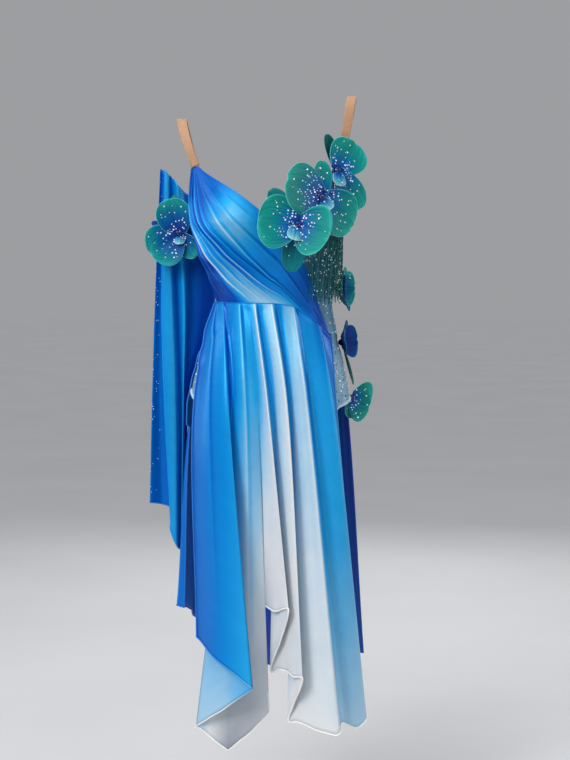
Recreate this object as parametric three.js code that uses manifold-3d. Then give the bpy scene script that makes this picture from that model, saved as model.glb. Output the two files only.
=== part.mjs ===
// Latin dance dress in its worn form: a satin wrap bodice and a handkerchief skirt over a mesh
// bodysuit, one trailing sleeve drape, a bead fringe and seven cloth orchids.
// Millimetres, +Z up, the front faces -Y, and the origin is midway between the strap tops.

import * as THREE from 'three';
import Module from 'manifold-3d';

const manifoldLibrary = await Module();
manifoldLibrary.setup();
const { Manifold, Mesh: ManifoldMesh } = manifoldLibrary;

const DEGREE = Math.PI / 180;
const SATIN = 1.2;          // satin, with its rolled hem
const MESH_CLOTH = 1.5;     // power mesh and its lining
const PETAL = 1.4;          // starched petal cloth
const STRAP = 1.2;
const LAYER_GAP = 2.2;      // air between a layer and the one that it lies on
const SEAM = 0.3;           // between front and back at the side seams and the crotch
const SATIN_OUT = MESH_CLOTH + LAYER_GAP + SATIN;   // outer face of satin laid on the bodysuit

// ---------------------------------------------------------------- the general figure
// Level sections of a general figure: half is its half width, front and back are its depths.
const FIGURE = [
  { z: -60, centre: 0, half: 150, front: 60, back: 80 },
  { z: -110, centre: 0, half: 142, front: 78, back: 88 },
  { z: -160, centre: 1, half: 140, front: 100, back: 92 },
  { z: -215, centre: 4, half: 139, front: 118, back: 92 },
  { z: -270, centre: 8, half: 130, front: 104, back: 86 },
  { z: -310, centre: 12, half: 119, front: 92, back: 82 },
  { z: -363, centre: 15, half: 106, front: 82, back: 78 },
  { z: -430, centre: 9, half: 122, front: 88, back: 96 },
  { z: -475, centre: 7, half: 136, front: 92, back: 108 },
  { z: -522, centre: 6, half: 146, front: 95, back: 114 },
  { z: -560, centre: 5, half: 152, front: 96, back: 112 },
  { z: -600, centre: 4, half: 152, front: 90, back: 102 },
  { z: -630, centre: 3, half: 150, front: 64, back: 72 },
  { z: -648, centre: 3, half: 150, front: 27, back: 30 },
  { z: -656, centre: 3, half: 150, front: 3, back: 3 },
];
const FIGURE_WAIST = -363;
const BUST = { x: 74, z: -208, depth: 20, spread: 44 };   // the darted cups
const ROUNDNESS = 2.3;
const FIGURE_SEAT = -600;    // hanging cloth keeps clear of the figure by itself below this

function section(z) {
  const below = FIGURE.findIndex((level) => level.z < z);
  if (below === 0) return FIGURE[0];
  if (below < 0) return FIGURE[FIGURE.length - 1];
  const upper = FIGURE[below - 1];
  const lower = FIGURE[below];
  const share = THREE.MathUtils.smootherstep(upper.z - z, 0, upper.z - lower.z) * 0.4
    + ((upper.z - z) / (upper.z - lower.z)) * 0.6;
  const mix = (key) => THREE.MathUtils.lerp(upper[key], lower[key], share);
  return { centre: mix('centre'), half: mix('half'), front: mix('front'), back: mix('back') };
}

// A point on the figure: turn is 0 at the front, -90 at the dress's left in view, 180 at the back.
function onFigure(turn, z, out) {
  const { centre, half, front, back } = section(z);
  const across = Math.sin(turn * DEGREE);
  const ahead = Math.cos(turn * DEGREE);
  const depth = ahead > 0 ? -(front + out) : back + out;
  const x = centre + (half + out) * Math.sign(across) * Math.abs(across) ** (2 / ROUNDNESS);
  const y = depth * Math.abs(ahead) ** (2 / ROUNDNESS);
  const fromCup = ((Math.abs(x) - BUST.x) ** 2 + (z - BUST.z) ** 2) / (2 * BUST.spread ** 2);
  const cup = ahead > 0 ? BUST.depth * Math.exp(-fromCup) * Math.min(1, 2 * ahead) : 0;
  return new THREE.Vector3(x, y - cup, z);
}

// Moves a point of hanging cloth outwards where it would sink into the figure.
function clearOfFigure(point, out) {
  if (point.z < FIGURE_SEAT) return point;
  const { centre, half, front, back } = section(point.z);
  const depth = point.y < 0 ? front + out : back + out;
  const reach = (Math.abs(point.x - centre) / (half + out)) ** ROUNDNESS
    + (Math.abs(point.y) / depth) ** ROUNDNESS;
  if (reach >= 1) return point;
  const push = reach ** (-1 / ROUNDNESS);
  return new THREE.Vector3(centre + (point.x - centre) * push, point.y * push, point.z);
}

// ---------------------------------------------------------------- cloth as closed walls
function between(rows, key, value, result) {
  const next = rows.findIndex((row) => (row[key] - value) * (rows[0][key] - rows[1][key]) <= 0);
  if (next <= 0) return next < 0 ? rows[rows.length - 1][result] : rows[0][result];
  const share = (value - rows[next - 1][key]) / (rows[next][key] - rows[next - 1][key]);
  return THREE.MathUtils.lerp(rows[next - 1][result], rows[next][result], share);
}

function gridNormals(grid) {
  const lastColumn = grid.length - 1;
  const lastRow = grid[0].length - 1;
  return grid.map((column, i) => column.map((_, j) => {
    const along = grid[Math.min(i + 1, lastColumn)][j].clone().sub(grid[Math.max(i - 1, 0)][j]);
    const down = grid[i][Math.min(j + 1, lastRow)].clone().sub(grid[i][Math.max(j - 1, 0)]);
    return down.cross(along).normalize();
  }));
}

// A closed wall from a grid of points on its outer face; columns run with the outside on the left
// of the way down, so that the wall's thickness goes inwards.
function wall(grid, thickness) {
  const normals = gridNormals(grid);
  const columns = grid.length;
  const rows = grid[0].length;
  const positions = [];
  for (let side = 0; side < 2; side += 1) {
    for (let i = 0; i < columns; i += 1) {
      for (let j = 0; j < rows; j += 1) {
        const point = grid[i][j].clone().addScaledVector(normals[i][j], -side * thickness);
        positions.push(point.x, point.y, point.z);
      }
    }
  }
  const at = (i, j, side) => side * columns * rows + i * rows + j;
  const faces = [];
  const quad = (a, b, c, d) => faces.push(a, b, c, a, c, d);
  for (let i = 0; i < columns - 1; i += 1) {
    for (let j = 0; j < rows - 1; j += 1) {
      quad(at(i, j, 0), at(i, j + 1, 0), at(i + 1, j + 1, 0), at(i + 1, j, 0));
      quad(at(i, j, 1), at(i + 1, j, 1), at(i + 1, j + 1, 1), at(i, j + 1, 1));
    }
    quad(at(i, 0, 0), at(i + 1, 0, 0), at(i + 1, 0, 1), at(i, 0, 1));
    quad(at(i, rows - 1, 0), at(i, rows - 1, 1), at(i + 1, rows - 1, 1), at(i + 1, rows - 1, 0));
  }
  for (let j = 0; j < rows - 1; j += 1) {
    quad(at(0, j, 0), at(0, j, 1), at(0, j + 1, 1), at(0, j + 1, 0));
    quad(at(columns - 1, j, 0), at(columns - 1, j + 1, 0),
      at(columns - 1, j + 1, 1), at(columns - 1, j, 1));
  }
  const geometry = new THREE.BufferGeometry();
  geometry.setAttribute('position', new THREE.Float32BufferAttribute(positions, 3));
  geometry.setIndex(faces);
  geometry.computeVertexNormals();
  return geometry;
}

// Points across a row of stations, steps to each gap, on a smooth curve through them.
function acrossStations(points, steps) {
  const curve = new THREE.CatmullRomCurve3(points, false, 'centripetal');
  const count = (points.length - 1) * steps;
  return Array.from({ length: count + 1 }, (_, i) => curve.getPoint(i / count));
}

function gridFromRows(rows) {
  return rows[0].map((_, i) => rows.map((row) => row[i]));
}

function toManifold(geometry) {
  return new Manifold(new ManifoldMesh({
    numProp: 3,
    vertProperties: new Float32Array(geometry.attributes.position.array),
    triVerts: new Uint32Array(geometry.index.array),
  }));
}

function fromManifold(solid) {
  const mesh = solid.getMesh();
  const geometry = new THREE.BufferGeometry();
  geometry.setAttribute('position', new THREE.Float32BufferAttribute(mesh.vertProperties, 3));
  geometry.setIndex(Array.from(mesh.triVerts));
  geometry.computeVertexNormals();
  return geometry;
}

// ---------------------------------------------------------------- bodysuit and straps
const NECKLINE = [
  { turn: -90, z: -184 }, { turn: -76, z: -122 }, { turn: -66, z: -116 }, { turn: -40, z: -146 },
  { turn: -20, z: -172 }, { turn: 0, z: -208 }, { turn: 20, z: -188 }, { turn: 40, z: -152 },
  { turn: 57, z: -112 }, { turn: 64, z: -86 }, { turn: 76, z: -88 }, { turn: 90, z: -180 },
];
const LEG_EDGE = [
  { turn: -90, z: -528 }, { turn: -54, z: -552 }, { turn: -28, z: -606 }, { turn: -13, z: -646 },
  { turn: 0, z: -655 }, { turn: 13, z: -646 }, { turn: 28, z: -606 }, { turn: 54, z: -557 },
  { turn: 90, z: -543 },
];
const BACK_NECKLINE = [
  { turn: 90, z: -180 }, { turn: 122, z: -206 }, { turn: 138, z: -214 }, { turn: 160, z: -278 },
  { turn: 180, z: -296 }, { turn: 200, z: -278 }, { turn: 222, z: -214 }, { turn: 238, z: -206 },
  { turn: 270, z: -184 },
];
const BACK_LEG_EDGE = [
  { turn: 90, z: -543 }, { turn: 126, z: -568 }, { turn: 152, z: -622 }, { turn: 167, z: -648 },
  { turn: 180, z: -655 }, { turn: 193, z: -648 }, { turn: 208, z: -622 }, { turn: 234, z: -562 },
  { turn: 270, z: -528 },
];

// side is -1 for the front panel and 1 for the back one; shares run 0 to 1 above the waist and
// 1 to 2 below it.
function bodysuitPanel(side, from, to, neckline, legEdge) {
  const columns = 18;
  const shares = [0, 0.22, 0.45, 0.65, 0.83, 1, 1.16, 1.32, 1.48, 1.64, 1.78, 1.9, 2];
  const rowsOfPoints = shares.map((share) => Array.from({ length: columns + 1 }, (_, i) => {
    const turn = THREE.MathUtils.lerp(from, to, i / columns);
    const top = between(neckline, 'turn', turn, 'z');
    const bottom = between(legEdge, 'turn', turn, 'z');
    const height = share < 1 ? THREE.MathUtils.lerp(top, FIGURE_WAIST, share)
      : THREE.MathUtils.lerp(FIGURE_WAIST, bottom, share - 1);
    return onFigure(turn, height, MESH_CLOTH);
  }));
  const panel = toManifold(wall(gridFromRows(rowsOfPoints), MESH_CLOTH));
  return fromManifold(panel.trimByPlane([0, side, 0], SEAM / 2));
}

// Each strap's centre line runs from its front end over the shoulder to the back neckline.
const STRAPS = {
  strap_left: [[-131.2, -44.3, -109.2], [-144, -44, -76], [-155, -28, -42], [-160, 0, -20],
    [-156, 30, -38], [-142, 52, -90], [-122, 64, -150], [-110, 64, -200], [-107.5, 63.4, -223]],
  strap_right: [[136.2, -34.3, -96], [146, -38, -56], [155, -22, 2], [160, 0, 22],
    [158, 28, 6], [148, 50, -50], [129, 63, -130], [116.5, 64, -200], [116.5, 63.4, -223]],
};
const STRAP_WIDTH = 18;
const STRAP_FLARE = 0.82;     // how far the straps turn outwards where they lie on the body
const STRAP_LEVEL = -90;      // below this height the straps stand upright

function strap(points) {
  const curve = new THREE.CatmullRomCurve3(points.map((point) => new THREE.Vector3(...point)));
  const steps = 16;
  const rowsOfPoints = Array.from({ length: steps + 1 }, (_, j) => {
    const middle = curve.getPoint(j / steps);
    const tangent = curve.getTangent(j / steps);
    const flare = STRAP_FLARE * Math.abs(middle.y) * Math.sign(middle.x);
    const outward = new THREE.Vector3(flare, middle.y, Math.max(0, middle.z - STRAP_LEVEL))
      .normalize();
    const across = outward.cross(tangent).normalize().multiplyScalar(STRAP_WIDTH / 2);
    return [middle.clone().add(across), middle.clone().sub(across)];
  });
  return wall(gridFromRows(rowsOfPoints), STRAP);
}

// ---------------------------------------------------------------- waist seam
// Where the bodice meets the skirt; it drops to the hip under the wrap's tucked corner.
const WAIST = [
  { turn: -245, z: -420 }, { turn: -215, z: -392 }, { turn: -180, z: -374 },
  { turn: -118, z: -365 }, { turn: -90, z: -362 }, { turn: -60, z: -363 }, { turn: 0, z: -364.5 },
  { turn: 15, z: -370 }, { turn: 41, z: -404 }, { turn: 58, z: -427 },
];
const waistHeight = (turn) => between(WAIST, 'turn', turn, 'z');

// ---------------------------------------------------------------- wrap bodice
// One row for each fold, from the neckline edge round to the left side seam. Each fold runs from
// the left strap to the waist seam through three [turn, height] places; ridge is how far it rises.
const BODICE_FOLDS = [
  { from: [-57, -111], high: [-20, -159], middle: [2, -210], low: [23, -287], to: 60, ridge: 0.5 },
  { from: [-59, -111], high: [-24, -175], middle: [-1, -232], low: [19, -305], to: 54, ridge: 1 },
  { from: [-61, -110], high: [-30, -195], middle: [-7, -256], low: [13, -322], to: 48, ridge: 3 },
  { from: [-63, -110], high: [-38, -206], middle: [-16, -275], low: [6, -335], to: 40, ridge: 5 },
  { from: [-64, -110], high: [-50, -213], middle: [-29, -264], low: [-4, -318], to: 28, ridge: 6 },
  { from: [-65, -110], high: [-60, -204], middle: [-40, -258], low: [-13, -318], to: 15, ridge: 6 },
  { from: [-66, -110], high: [-68, -192], middle: [-50, -248], low: [-24, -308], to: 3, ridge: 7 },
  { from: [-67, -110], high: [-74, -187], middle: [-60, -242], low: [-36, -305], to: -8, ridge: 6 },
  { from: [-68, -111], high: [-79, -183], middle: [-69, -240], low: [-48, -304], to: -19, ridge: 6 },
  { from: [-69, -111], high: [-83, -180], middle: [-77, -240], low: [-60, -304], to: -35, ridge: 5 },
  { from: [-71, -112], high: [-87, -177], middle: [-84, -240], low: [-74, -305], to: -58, ridge: 4 },
  { from: [-74, -114], high: [-90, -176], middle: [-90, -240], low: [-90, -304], to: -90, ridge: 0 },
];
const WRAP_SEAM_GAP = 1;      // between the wrap's lower edge and the skirt's upper edge

function wrapBodice() {
  const stepsAcross = 3;
  const rowShares = [0, 0.05, 0.12, 0.2, 0.3, 0.4, 0.5, 0.6, 0.7, 0.8, 0.88, 0.95, 1];
  const folds = BODICE_FOLDS.map((fold) => new THREE.CatmullRomCurve3([
    new THREE.Vector3(...fold.from, 0),
    new THREE.Vector3(...fold.high, fold.ridge),
    new THREE.Vector3(...fold.middle, fold.ridge),
    new THREE.Vector3(...fold.low, fold.ridge),
    new THREE.Vector3(fold.to, waistHeight(fold.to) + WRAP_SEAM_GAP, 0),
  ]));
  const rowsOfPoints = rowShares.map((share) => {
    const places = acrossStations(folds.map((fold) => fold.getPoint(share)), stepsAcross);
    return places.map(({ x: turn, y: height, z: ridge }, i) => {
      const rise = ridge * Math.cos((Math.PI * i) / stepsAcross) ** 2;
      return onFigure(Math.max(turn, -90), height, SATIN_OUT + Math.max(0, rise));
    });
  });
  return wall(gridFromRows(rowsOfPoints.map((row) => row.reverse())), SATIN);
}

// ---------------------------------------------------------------- skirt
const HIP = -540;
const HANGING_GAP = 1;        // more air where the cloth hangs free

// Hangs one station from the waist seam through its place at the hip to its hem.
function hangStation({ turn, hip, hem }) {
  const top = onFigure(turn, waistHeight(turn), SATIN_OUT);
  return new THREE.CatmullRomCurve3([
    top, new THREE.Vector3(...hip, HIP), new THREE.Vector3(...hem),
  ], false, 'centripetal');
}

function hangingPanel(stations, stepsAcross, shares) {
  const lines = stations.map(hangStation);
  const rowsOfPoints = shares.map((share) => {
    const row = acrossStations(lines.map((line) => line.getPoint(share)), stepsAcross);
    return row.map((point) => clearOfFigure(point, SATIN_OUT + HANGING_GAP));
  });
  return wall(gridFromRows(rowsOfPoints), SATIN);
}

// The front: left edge first, then each ridge and the folds behind it. turn is on the waist seam,
// hip is [x, y] at hip height, and hem is [x, y, z].
const SKIRT_FRONT = [
  { turn: -90, hip: [-134, -58], hem: [-132, -70, -990] },
  { turn: -74, hip: [-106, -98], hem: [-90, -118, -1024] },
  { turn: -57, hip: [-70, -120], hem: [-25, -150, -1069] },      // ridge with the low corner
  { turn: -54, hip: [-66, -113], hem: [-79, -100, -1118] },
  { turn: -50, hip: [-63, -108], hem: [-134, -48, -1166] },      // fold back to the left
  { turn: -41, hip: [-54, -113], hem: [-74, -60, -1210] },
  { turn: -32, hip: [-38, -121], hem: [-32, -71, -1173] },
  { turn: -23, hip: [-20, -115], hem: [5, -79, -1131] },
  { turn: -20.5, hip: [-12, -113], hem: [-6, -92, -928] },       // slit
  { turn: -18, hip: [-4, -119], hem: [15, -114, -932] },
  { turn: -15.7, hip: [2, -129], hem: [40, -140, -922] },        // ridge
  { turn: -13.5, hip: [7, -120], hem: [26, -112, -986] },
  { turn: -11, hip: [13, -114], hem: [8, -88, -1051] },
  { turn: -8, hip: [18, -119], hem: [29, -96, -1046] },
  { turn: -4.5, hip: [27, -126], hem: [52, -122, -1053] },
  { turn: -1.7, hip: [37, -130], hem: [66, -140, -1051] },       // ridge
  { turn: 0.8, hip: [40, -120], hem: [54, -112, -1098] },
  { turn: 3.5, hip: [43, -113], hem: [41, -86, -1147] },
  { turn: 6.5, hip: [50, -117], hem: [58, -98, -1145] },
  { turn: 11, hip: [62, -122], hem: [106, -124, -1158] },
  { turn: 15, hip: [73, -127], hem: [134, -136, -1157] },        // ridge
  { turn: 18.5, hip: [78, -117], hem: [138, -112, -1145] },
  { turn: 22, hip: [84, -110], hem: [148, -98, -1148] },
  { turn: 32, hip: [104, -110], hem: [166, -92, -1158] },
  { turn: 42, hip: [121, -106], hem: [188, -66, -1147] },        // ridge by the right edge
  { turn: 57, hip: [127, -82], hem: [180, -34, -1128] },
];

// The back, from the left edge round to the right edge; it is shorter at its sides.
const SKIRT_BACK = [
  { turn: -118, hip: [-139, 16], hem: [-160, 8, -950] },
  { turn: -124, hip: [-141, 28], hem: [-175, 22, -948] },
  { turn: -130, hip: [-132, 46], hem: [-150, 50, -960] },
  { turn: -136, hip: [-130, 78], hem: [-146, 98, -985] },
  { turn: -143, hip: [-110, 92], hem: [-112, 110, -1005] },
  { turn: -151, hip: [-97, 121], hem: [-95, 162, -1035] },
  { turn: -160, hip: [-70, 118], hem: [-58, 138, -1060] },
  { turn: -169, hip: [-42, 140], hem: [-30, 182, -1085] },
  { turn: -178, hip: [-10, 128], hem: [8, 146, -1095] },
  { turn: -188, hip: [24, 144], hem: [42, 184, -1090] },
  { turn: -198, hip: [52, 122], hem: [72, 138, -1075] },
  { turn: -208, hip: [88, 129], hem: [112, 166, -1062] },
  { turn: -218, hip: [104, 104], hem: [126, 112, -1055] },
  { turn: -227, hip: [138, 98], hem: [170, 120, -1052] },
  { turn: -236, hip: [136, 80], hem: [160, 84, -1050] },
  { turn: -245, hip: [150, 66], hem: [187, 58, -1050] },
];

const frontShares = [0, 0.05, 0.12, 0.2, 0.3, 0.4, 0.5, 0.58, 0.66, 0.75, 0.84, 0.92, 1];
const backShares = [0, 0.12, 0.26, 0.4, 0.52, 0.64, 0.76, 0.88, 1];

// ---------------------------------------------------------------- trailing sleeve
// Stations from the edge beside the bodice out to the left and round to the back edge: top is
// [x, y, z], waist and hip are [x, y] at those heights, and hem is [x, y, z].
const SLEEVE_WAIST = -360;
const SLEEVE_HIP = -550;
const SLEEVE = [
  { top: [-127.4, 58.6, -160], waist: [-102, 62], hip: [-152, 50], hem: [-150, 62, -858] },
  { top: [-144, 55, -162], waist: [-124, 58], hip: [-155, 44], hem: [-156, 52, -857] },
  { top: [-157, 50, -155], waist: [-146, 54], hip: [-158, 40], hem: [-160, 48, -855] },
  { top: [-171, 40, -139], waist: [-159, 36], hip: [-161, 28], hem: [-167, 36, -850] },    // ridge
  { top: [-184, 52, -124], waist: [-174, 54], hip: [-167, 46], hem: [-169, 54, -845] },
  { top: [-190, 42, -118], waist: [-183, 36], hip: [-177, 26], hem: [-175, 36, -836] },    // ridge
  { top: [-196, 44, -111], waist: [-203, 38], hip: [-199, 30], hem: [-188, 40, -800] },
  { top: [-194, 52, -114], waist: [-196, 50], hip: [-189, 44], hem: [-181, 54, -768] },
  { top: [-200, 58, -112], waist: [-206, 56], hip: [-207, 50], hem: [-204, 62, -757] },
  { top: [-205, 54, -110], waist: [-216, 50], hip: [-222, 42], hem: [-228, 50, -752] },    // outer
  { top: [-198, 72, -130], waist: [-206, 74], hip: [-212, 70], hem: [-214, 84, -756] },
  { top: [-176, 82, -150], waist: [-180, 92], hip: [-188, 88], hem: [-190, 100, -765] },
];

function sleeve() {
  const shares = [0, 0.08, 0.17, 0.25, 0.333, 0.42, 0.5, 0.58, 0.667, 0.75, 0.83, 0.92, 1];
  const lines = SLEEVE.map(({ top, waist, hip, hem }) => new THREE.CatmullRomCurve3([
    new THREE.Vector3(...top),
    new THREE.Vector3(...waist, SLEEVE_WAIST),
    new THREE.Vector3(...hip, SLEEVE_HIP),
    new THREE.Vector3(...hem),
  ], false, 'centripetal'));
  const rowsOfPoints = shares.map((share) => (
    acrossStations(lines.map((line) => line.getPoint(share)), 3).reverse()
  ));
  return wall(gridFromRows(rowsOfPoints), SATIN);
}

// ---------------------------------------------------------------- bead fringe
const FRINGE = {
  fromTurn: 27, toTurn: 80, top: -240, bandHeight: 7, bandOut: 2.9, bandThickness: 2.2,
  strands: 46, strandWidth: 1.7, length: 108, longer: 14, sunk: 1.1,
};

function fringe() {
  const { fromTurn, toTurn, top, bandHeight, bandOut, bandThickness } = FRINGE;
  const steps = 12;
  const along = (share, z) => onFigure(THREE.MathUtils.lerp(fromTurn, toTurn, share), z,
    MESH_CLOTH + bandOut);
  const level = (z) => Array.from({ length: steps + 1 }, (_, i) => {
    const point = along(i / steps, top);
    return new THREE.Vector3(point.x, point.y, z);
  });
  const band = wall(gridFromRows([level(top), level(top - bandHeight)]), bandThickness);
  const solids = [toManifold(band)];
  for (let i = 0; i < FRINGE.strands; i += 1) {
    const share = (i + 0.5) / FRINGE.strands;
    const root = along(share, top);
    const inward = new THREE.Vector3(-root.x, -root.y, 0).normalize()
      .multiplyScalar(FRINGE.sunk);
    const length = FRINGE.length + FRINGE.longer * Math.sin(i * 2.4) ** 2;
    const strand = Manifold.cylinder(length, FRINGE.strandWidth / 2, FRINGE.strandWidth / 2, 3)
      .rotate([0, 0, (i * 360) / 7])
      .translate([root.x + inward.x, root.y + inward.y, top - bandHeight / 2 - length]);
    solids.push(strand);
  }
  return fromManifold(Manifold.union(solids));
}

// ---------------------------------------------------------------- orchids
// Each orchid faces its own way. A petal's angle is clockwise from straight up as its face is
// seen, lean tips it forwards, and cup bends its rim forwards. Its stem ends at sewn, a seam's
// width off the cloth that carries it.
const HEART = 7;              // radius of the bead cluster that the petals are sewn to
const STEM = 4;               // radius of the bound stem behind it
const WIDE_PETAL = 40;        // wider petals have more facets
const PETAL_ROOT = 0.03;      // share of its length by which a petal starts inside the heart
const PETAL_FAN = 1.3;        // above 1, a petal is widest beyond its middle
const ORCHIDS = {
  orchid_bust_left: {
    centre: [57, -155, -221], facing: [0.12, -1, 0.05],
    sewn: [53.9, -129.0, -222.3], petals: [
      { angle: -82, length: 74, width: 96, lean: -4, cup: 9 },
      { angle: 113, length: 66, width: 94, lean: 24, cup: 9 },
      { angle: 196, length: 34, width: 30, lean: 34, cup: -6 },
      { angle: 188, length: 86, width: 42, lean: -12, cup: 4 },
      { angle: -36, length: 84, width: 36, lean: -14, cup: 3 },
    ],
  },
  orchid_bust_right: {
    centre: [100, -120, -172], facing: [0.66, -1, 0.05],
    sewn: [88.9, -103.2, -172.8], petals: [
      { angle: -72, length: 98, width: 90, lean: 12, cup: 1 },
      { angle: 124, length: 88, width: 86, lean: -6, cup: 8 },
      { angle: 2, length: 70, width: 40, lean: -2, cup: 4 },
      { angle: 145, length: 28, width: 26, lean: 36, cup: -5 },
    ],
  },
  orchid_strap: {
    centre: [130, -63, -119], facing: [0.5, -1, 0.15],
    sewn: [124.6, -52.3, -120.6], petals: [
      { angle: 38, length: 66, width: 78, lean: 2, cup: 7 },
      { angle: 144, length: 86, width: 50, lean: -4, cup: 6 },
      { angle: -10, length: 72, width: 24, lean: -8, cup: 2 },
      { angle: 124, length: 82, width: 22, lean: -12, cup: 3 },
      { angle: 175, length: 34, width: 24, lean: 24, cup: -4 },
    ],
  },
  orchid_sleeve: {
    centre: [-167, 24, -235], facing: [-0.1, -1, 0],
    sewn: [-165.8, 38.2, -235.0], petals: [
      { angle: -14, length: 72, width: 66, lean: 8, cup: 7 },
      { angle: -127, length: 68, width: 84, lean: 12, cup: 7 },
      { angle: 143, length: 54, width: 38, lean: -4, cup: 4 },
      { angle: -67, length: 62, width: 16, lean: -12, cup: 2 },
      { angle: -9, length: 80, width: 22, lean: -14, cup: 2 },
      { angle: 175, length: 22, width: 20, lean: 34, cup: -4 },
    ],
  },
  orchid_hip_upper: {
    centre: [136, 20, -338], facing: [1, -0.15, 0],
    sewn: [127.0, 21.3, -338.0], petals: [
      { angle: 0, length: 44, width: 34, lean: 12, cup: 5 },
      { angle: -84, length: 44, width: 46, lean: 18, cup: 6 },
      { angle: 92, length: 34, width: 66, lean: 56, cup: 5 },
      { angle: 180, length: 48, width: 36, lean: 22, cup: 5 },
    ],
  },
  orchid_hip_middle: {
    centre: [142, 18, -440], facing: [1, -0.1, 0.1],
    sewn: [135.7, 18.6, -440.6], petals: [
      { angle: 0, length: 44, width: 34, lean: 14, cup: 4 },
      { angle: -80, length: 42, width: 42, lean: 8, cup: 5 },
      { angle: 90, length: 36, width: 62, lean: 50, cup: 5 },
      { angle: 178, length: 86, width: 26, lean: 8, cup: 3 },
    ],
  },
  orchid_hip_lower: {
    centre: [162, 38, -548], facing: [0.5, -0.87, 0],
    sewn: [153.0, 37.1, -548.0], petals: [
      { angle: 112, length: 40, width: 80, lean: 10, cup: 6 },
      { angle: 188, length: 40, width: 30, lean: 0, cup: 3 },
    ],
  },
};

function petal(centre, facing, { angle, length, width, lean, cup }) {
  const right = facing.clone().cross(new THREE.Vector3(0, 0, 1)).normalize().negate();
  const up = facing.clone().cross(right).normalize();
  const flat = up.clone().multiplyScalar(Math.cos(angle * DEGREE))
    .addScaledVector(right, Math.sin(angle * DEGREE));
  const side = flat.clone().cross(facing).normalize();
  const along = flat.multiplyScalar(Math.cos(lean * DEGREE))
    .addScaledVector(facing, Math.sin(lean * DEGREE));
  const face = side.clone().cross(along).normalize();
  const stepsAlong = width > WIDE_PETAL ? 5 : 3;
  const stepsAcross = width > WIDE_PETAL ? 4 : 2;
  const rowsOfPoints = Array.from({ length: stepsAlong + 1 }, (_, j) => {
    const share = j / stepsAlong;
    const round = PETAL_ROOT + 0.95 * share ** PETAL_FAN;
    const half = (width / 2) * Math.sqrt(1 - (2 * round - 1) ** 2);
    return Array.from({ length: stepsAcross + 1 }, (__, i) => {
      const reach = (2 * i) / stepsAcross - 1;
      const bend = cup * (reach ** 2 * (half / (width / 2)) ** 2 + share ** 3 * 0.6);
      return centre.clone().addScaledVector(along, length * (share - PETAL_ROOT))
        .addScaledVector(side, half * reach).addScaledVector(face, bend);
    });
  });
  return wall(gridFromRows(rowsOfPoints), PETAL);
}

function stem(from, to) {
  const way = to.clone().sub(from);
  const turn = new THREE.Quaternion().setFromUnitVectors(
    new THREE.Vector3(0, 0, 1), way.clone().normalize(),
  );
  const place = new THREE.Matrix4().compose(from, turn, new THREE.Vector3(1, 1, 1));
  return Manifold.cylinder(way.length(), STEM, STEM, 8).transform(place.elements);
}

function orchid({ centre, facing, sewn, petals }) {
  const middle = new THREE.Vector3(...centre);
  const forward = new THREE.Vector3(...facing).normalize();
  const heart = Manifold.sphere(HEART, 8).translate(centre);
  const parts = petals.map((shape) => toManifold(petal(middle, forward, shape)));
  return fromManifold(Manifold.union([heart, stem(middle, new THREE.Vector3(...sewn)), ...parts]));
}

// ---------------------------------------------------------------- the dress
const finishes = {
  satin: { color: 0x0a7fd0, roughness: 0.32, metalness: 0 },
  mesh: { color: 0x8fb2c8, roughness: 0.45, metalness: 0.1 },
  strap: { color: 0xc79a68, roughness: 0.7, metalness: 0 },
  petal: { color: 0x15958f, roughness: 0.55, metalness: 0 },
  beads: { color: 0x0b5a52, roughness: 0.2, metalness: 0.1 },
};

const dress = new THREE.Group();

function add(name, geometry, finish) {
  const mesh = new THREE.Mesh(geometry, new THREE.MeshStandardMaterial(finishes[finish]));
  mesh.name = name;
  dress.add(mesh);
}

add('bodysuit_front', bodysuitPanel(-1, -90, 90, NECKLINE, LEG_EDGE), 'mesh');
add('bodysuit_back', bodysuitPanel(1, 90, 270, BACK_NECKLINE, BACK_LEG_EDGE), 'mesh');
for (const [name, points] of Object.entries(STRAPS)) add(name, strap(points), 'strap');
add('bodice_wrap', wrapBodice(), 'satin');
add('skirt_front', hangingPanel(SKIRT_FRONT, 3, frontShares), 'satin');
add('skirt_back', hangingPanel([...SKIRT_BACK].reverse(), 3, backShares), 'satin');
add('sleeve_drape', sleeve(), 'satin');
add('bead_fringe', fringe(), 'beads');
for (const [name, shape] of Object.entries(ORCHIDS)) add(name, orchid(shape), 'petal');

export default dress;
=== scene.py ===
"""Latin dance dress in its worn form: satin wrap bodice and handkerchief skirt over a mesh bodysuit,
with a trailing sleeve, a bead fringe and cloth orchids. Metres, +Z up, the front faces -Y."""

import math
import random

import bmesh
import bpy
from mathutils import Matrix, Vector, noise


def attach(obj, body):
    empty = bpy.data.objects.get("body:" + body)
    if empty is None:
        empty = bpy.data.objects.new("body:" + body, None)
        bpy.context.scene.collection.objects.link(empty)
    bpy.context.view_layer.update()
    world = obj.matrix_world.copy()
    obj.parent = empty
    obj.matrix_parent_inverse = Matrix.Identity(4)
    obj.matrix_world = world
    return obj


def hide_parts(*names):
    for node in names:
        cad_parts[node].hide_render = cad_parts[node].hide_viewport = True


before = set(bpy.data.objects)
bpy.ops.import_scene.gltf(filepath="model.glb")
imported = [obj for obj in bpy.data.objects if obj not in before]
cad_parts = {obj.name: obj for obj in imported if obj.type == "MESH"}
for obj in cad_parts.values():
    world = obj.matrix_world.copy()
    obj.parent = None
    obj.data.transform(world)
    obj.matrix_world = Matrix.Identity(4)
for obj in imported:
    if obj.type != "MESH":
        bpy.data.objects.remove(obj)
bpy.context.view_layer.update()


# ---- Camera -------------------------------------------------------------------------------
# A long lens stands 3.2 m off at the height of the bust and looks a little down, so the dress
# is seen square from the front with hardly any perspective.

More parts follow.
